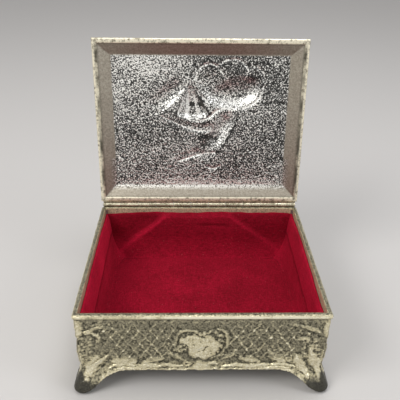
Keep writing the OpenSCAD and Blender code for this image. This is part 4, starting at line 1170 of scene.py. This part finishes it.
def back_folds(x, z, v, half, fill, plump, seed):
    """The back velvet's standing middle between two slanting folds. Gives its depth, its nap of painted light
    and shade, and top edge.
    """
    seen = -x                                                   # as it is seen from the front
    foot = half - card_front(CARD_LOW) - VELVET_T - FOOT_ROLL + 1.5
    fall = unit((1 - v) / 0.86)
    left = -0.42 * half - fall * (foot - 0.42 * half)
    right = 0.37 * half + fall * (foot - 0.37 * half)
    soft = 4.0 + 5 * fall
    ramp = unit(np.minimum((seen - left) / soft, (right - seen) / soft))
    stand = ramp**2 * (3 - 2 * ramp)
    ridge = bell(seen - left - 3.4, 2.2) + 0.6 * bell(right - seen - 3.2, 1.5)
    crease = bell(z - 40.8 + 0.03 * seen, 0.8) * unit((seen + 6) / 9) * unit((23 - seen) / 9)
    high = unit((46.6 - z) / 1.5)
    rise = 0.30 + 0.70 * unit((z - FLOOR_Z) / 15)
    depth = plump * (0.35 + 0.65 * (1 - stand))
    forward = 2.9 * stand * (1 - 0.5 * v) + 0.8 * ridge * (1 - 0.3 * v) - 0.5 * crease * stand
    depth = depth + high * rise * forward
    # nap: painted highlights on the fold ridges, painted shade in the crease and the corner pockets, lighter
    # at the cove
    nap = 0.06 + (0.55 * ridge - 0.18 * (1 - stand) * v - 0.4 * crease * stand) * high
    nap = nap + 0.2 * (1 - stand) * fill
    return depth, nap, unit((seen + half) / 26) * (1.2 + 0.4 * wave(x, 0 * x, seed + 6, 7.0))


def side_roll(x, z, way, half, fill, plump, seed):
    """A side or front velvet with a shallow groove along its middle. Gives its depth, its nap of painted
    sheen and shade, and top edge.
    """
    slant = way * x / half                                      # -1 in front, 1 at the back
    middle = 32.6 + 1.9 * slant + 0.5 * wave(x, 0 * x, seed + 3, 9.0)
    groove = bell(z - middle, 1.0)
    upper = unit((z - middle - 0.3) / 1.6)
    lower = 0.25 * unit((z - FLOOR_Z - 1) / 4) + 0.3 * fill
    # nap: painted sheen on the upper band, painted shade in the groove and darker towards the foot as painted
    # shade
    nap = upper * (0.56 - 0.10 * way + 0.3 * wave(x, z, seed + 5, 6.0)) + (1 - upper) * lower - 0.55 * groove
    edge = 1.3 * unit(1 - ((slant - 0.15) / 0.7) ** 2) + 0.35 * wave(x, 0 * x, seed + 6, 7.0)
    return plump - 0.6 * groove, nap, edge


def wall_velvet(node, half, reach, turn, material, folded=False, seed=1):
    """Velvet over one leaning card, rolled at its top and foot. folded gives it the back one's folds."""
    front, back = velvet_section()
    u = np.linspace(-1, 1, 171)[None, :]
    way = round(math.sin(turn))
    inset, z = (front[:, k][:, None] + 0 * u for k in (0, 1))
    ends = np.abs(u) if folded else unit(u * way)                   # 1 in the box's back corners
    share = 1.0 if folded else np.exp(-(1 - ends) * half / 9) * (ends > 0)
    fill = share * unit(1 - (z - FLOOR_Z) / 16) ** 2                # a cove towards the floor
    inset = inset + 4.2 * fill
    x = (half - inset) * u
    v = unit((z - FLOOR_Z) / (LINING_TOP - FLOOR_Z))
    calm = unit((1 - np.abs(u)) * half / 6)                         # nothing differs where two walls meet
    plump = 0.28 * wave(x, z, seed, 4.0) + 0.12 * wave(x, z, seed + 9, 1.5)
    plump = plump * unit((46.4 - z) / 2) * np.clip((z - FLOOR_Z) / 3, 0.1, 1)
    z = z + unit((z - 44) / 2) * calm * 0.55 * wave(u * half, 0 * u, seed + 40, 2.2)
    if folded:
        plump, nap, edge = back_folds(x, z, v, half, fill, plump, seed)
    else:
        plump, nap, edge = side_roll(x, z, way, half, fill, plump, seed)
    inset = inset + plump * calm
    lift = np.clip(edge, -0.1, 2.4) * calm * unit((np.linspace(0, 1, len(front))[:, None] - 0.70) / 0.12)
    depth, under_z = (back[:, k][:, None] + 0 * u for k in (0, 1))
    over = np.stack([x, -reach + inset, z + lift], -1)
    under = np.stack([(half - depth) * u, -reach + depth, under_z + 0.85 * lift], -1)
    cos, sin = round(math.cos(turn)), round(math.sin(turn))
    spin = np.array([[cos, -sin, 0], [sin, cos, 0], [0, 0, 1]])
    shift = np.array([0, MID_Y, 0])
    piece = skin_mesh(node + "_cloth", (over @ spin.T + shift)[:, ::-1], (under @ spin.T + shift)[:, ::-1],
                      {"brushed": nap[:, ::-1]})
    piece.data.materials.append(material)
    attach(piece, "box")
    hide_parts(node)
    return piece


def pad_grid(node, columns, rows):
    """A CAD node's corners, a grid over its plan, and the same grid's places as shares of 1."""
    low, high = corners_mm(node)
    x, y = np.meshgrid(np.linspace(low[0], high[0], columns), np.linspace(low[1], high[1], rows))
    return low, high, x, y, (x - low[0]) / (high[0] - low[0]), (y - low[1]) / (high[1] - low[1])


def floor_velvet(material):
    """The padded floor: a low crown, slow waves, a dimple, and edges tucked under the wall velvet."""
    low, high, x, y, u, v = pad_grid("floor_velvet", 230, 180)
    crown = np.sqrt(unit(np.sin(math.pi * u) * np.sin(math.pi * v)))
    dimple = spot(x + 1, y - low[1] - 5.0, 3.0, 2.4)
    swell = 0.75 + 0.30 * wave(x, y, 3, 9.0) + 0.12 * wave(x, y, 5, 3.0)
    top = FLOOR_Z - 0.35 + swell * crown - 1.3 * dimple
    # nap: painted shade in the dimple, lighter towards the front edge, and slow uneven tone
    nap = 0.02 - 0.9 * dimple + 0.25 * unit(1 - (y - low[1]) / 10) + 0.12 * wave(x, y, 15, 14.0)
    piece = skin_mesh("floor_velvet_cloth", np.stack([x, y, top], -1), np.stack([x, y, 0 * x + low[2]], -1),
                      {"brushed": nap})
    piece.data.materials.append(material)
    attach(piece, "box")
    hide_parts("floor_velvet")


def wadding(material):
    """The thin crowned pad under the floor velvet."""
    low, high, x, y, u, v = pad_grid("floor_wadding", 60, 46)
    edge = unit(np.minimum(np.minimum(u, 1 - u) * 40, np.minimum(v, 1 - v) * 30))
    top = low[2] + (high[2] - low[2]) * (0.55 + 0.40 * np.sqrt(edge)) - 0.1 * np.abs(wave(x, y, 8, 3.0))
    piece = skin_mesh("floor_wadding_pad", np.stack([x, y, top], -1), np.stack([x, y, 0 * x + low[2]], -1))
    piece.data.materials.append(material)
    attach(piece, "box")
    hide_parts("floor_wadding")


# ---- Making it all -----------------------------------------------------------------------

def dress(node, material):
    """Gives a CAD node that is shown as it is a better material."""
    mesh = nodes[node].data
    mesh.materials.clear()
    mesh.materials.append(material)


make_camera()
make_world()
make_stage()

plate = aged_plate()
front_relief = wall_relief(HALF_W)
side_relief = wall_relief(HALF_D)
wall_piece("front_panel", HALF_W, HALF_D, 0, front_relief, plate)
wall_piece("back_panel", HALF_W, HALF_D, math.pi, front_relief, plate)
wall_piece("left_panel", HALF_D, HALF_W, -math.pi / 2, side_relief, plate)
wall_piece("right_panel", HALF_D, HALF_W, math.pi / 2, side_relief, plate)
lid_mesh(lid_inside(), plate)

red = velvet()
floor_velvet(red)
wadding(cotton_wadding())
wall_velvet("front_velvet", INNER_W, INNER_D, 0, red, seed=61)
wall_velvet("back_velvet", INNER_W, INNER_D, math.pi, red, folded=True, seed=62)
wall_velvet("left_velvet", INNER_D, INNER_W, -math.pi / 2, red, seed=63)
wall_velvet("right_velvet", INNER_D, INNER_W, math.pi / 2, red, seed=64)

hinge_metal = plain_metal("hinge_metal", (0.70, 0.65, 0.49), (0.20, 0.18, 0.12), 0.38)
dress("hinge_leaf_box", hinge_metal)
dress("hinge_leaf_lid", hinge_metal)
dress("hinge_pin", plain_metal("pin_steel", (0.75, 0.74, 0.70), (0.35, 0.33, 0.29), 0.30))
dress("bottom_plate", plain_metal("sheet_steel", (0.34, 0.32, 0.26), (0.12, 0.11, 0.085), 0.5))
dress("corner_solder", plain_metal("solder", (0.40, 0.39, 0.36), (0.20, 0.19, 0.17), 0.5))
card = fibre_board()
for name in ("floor_card", "front_card", "back_card", "left_card", "right_card"):
    dress(name, card)
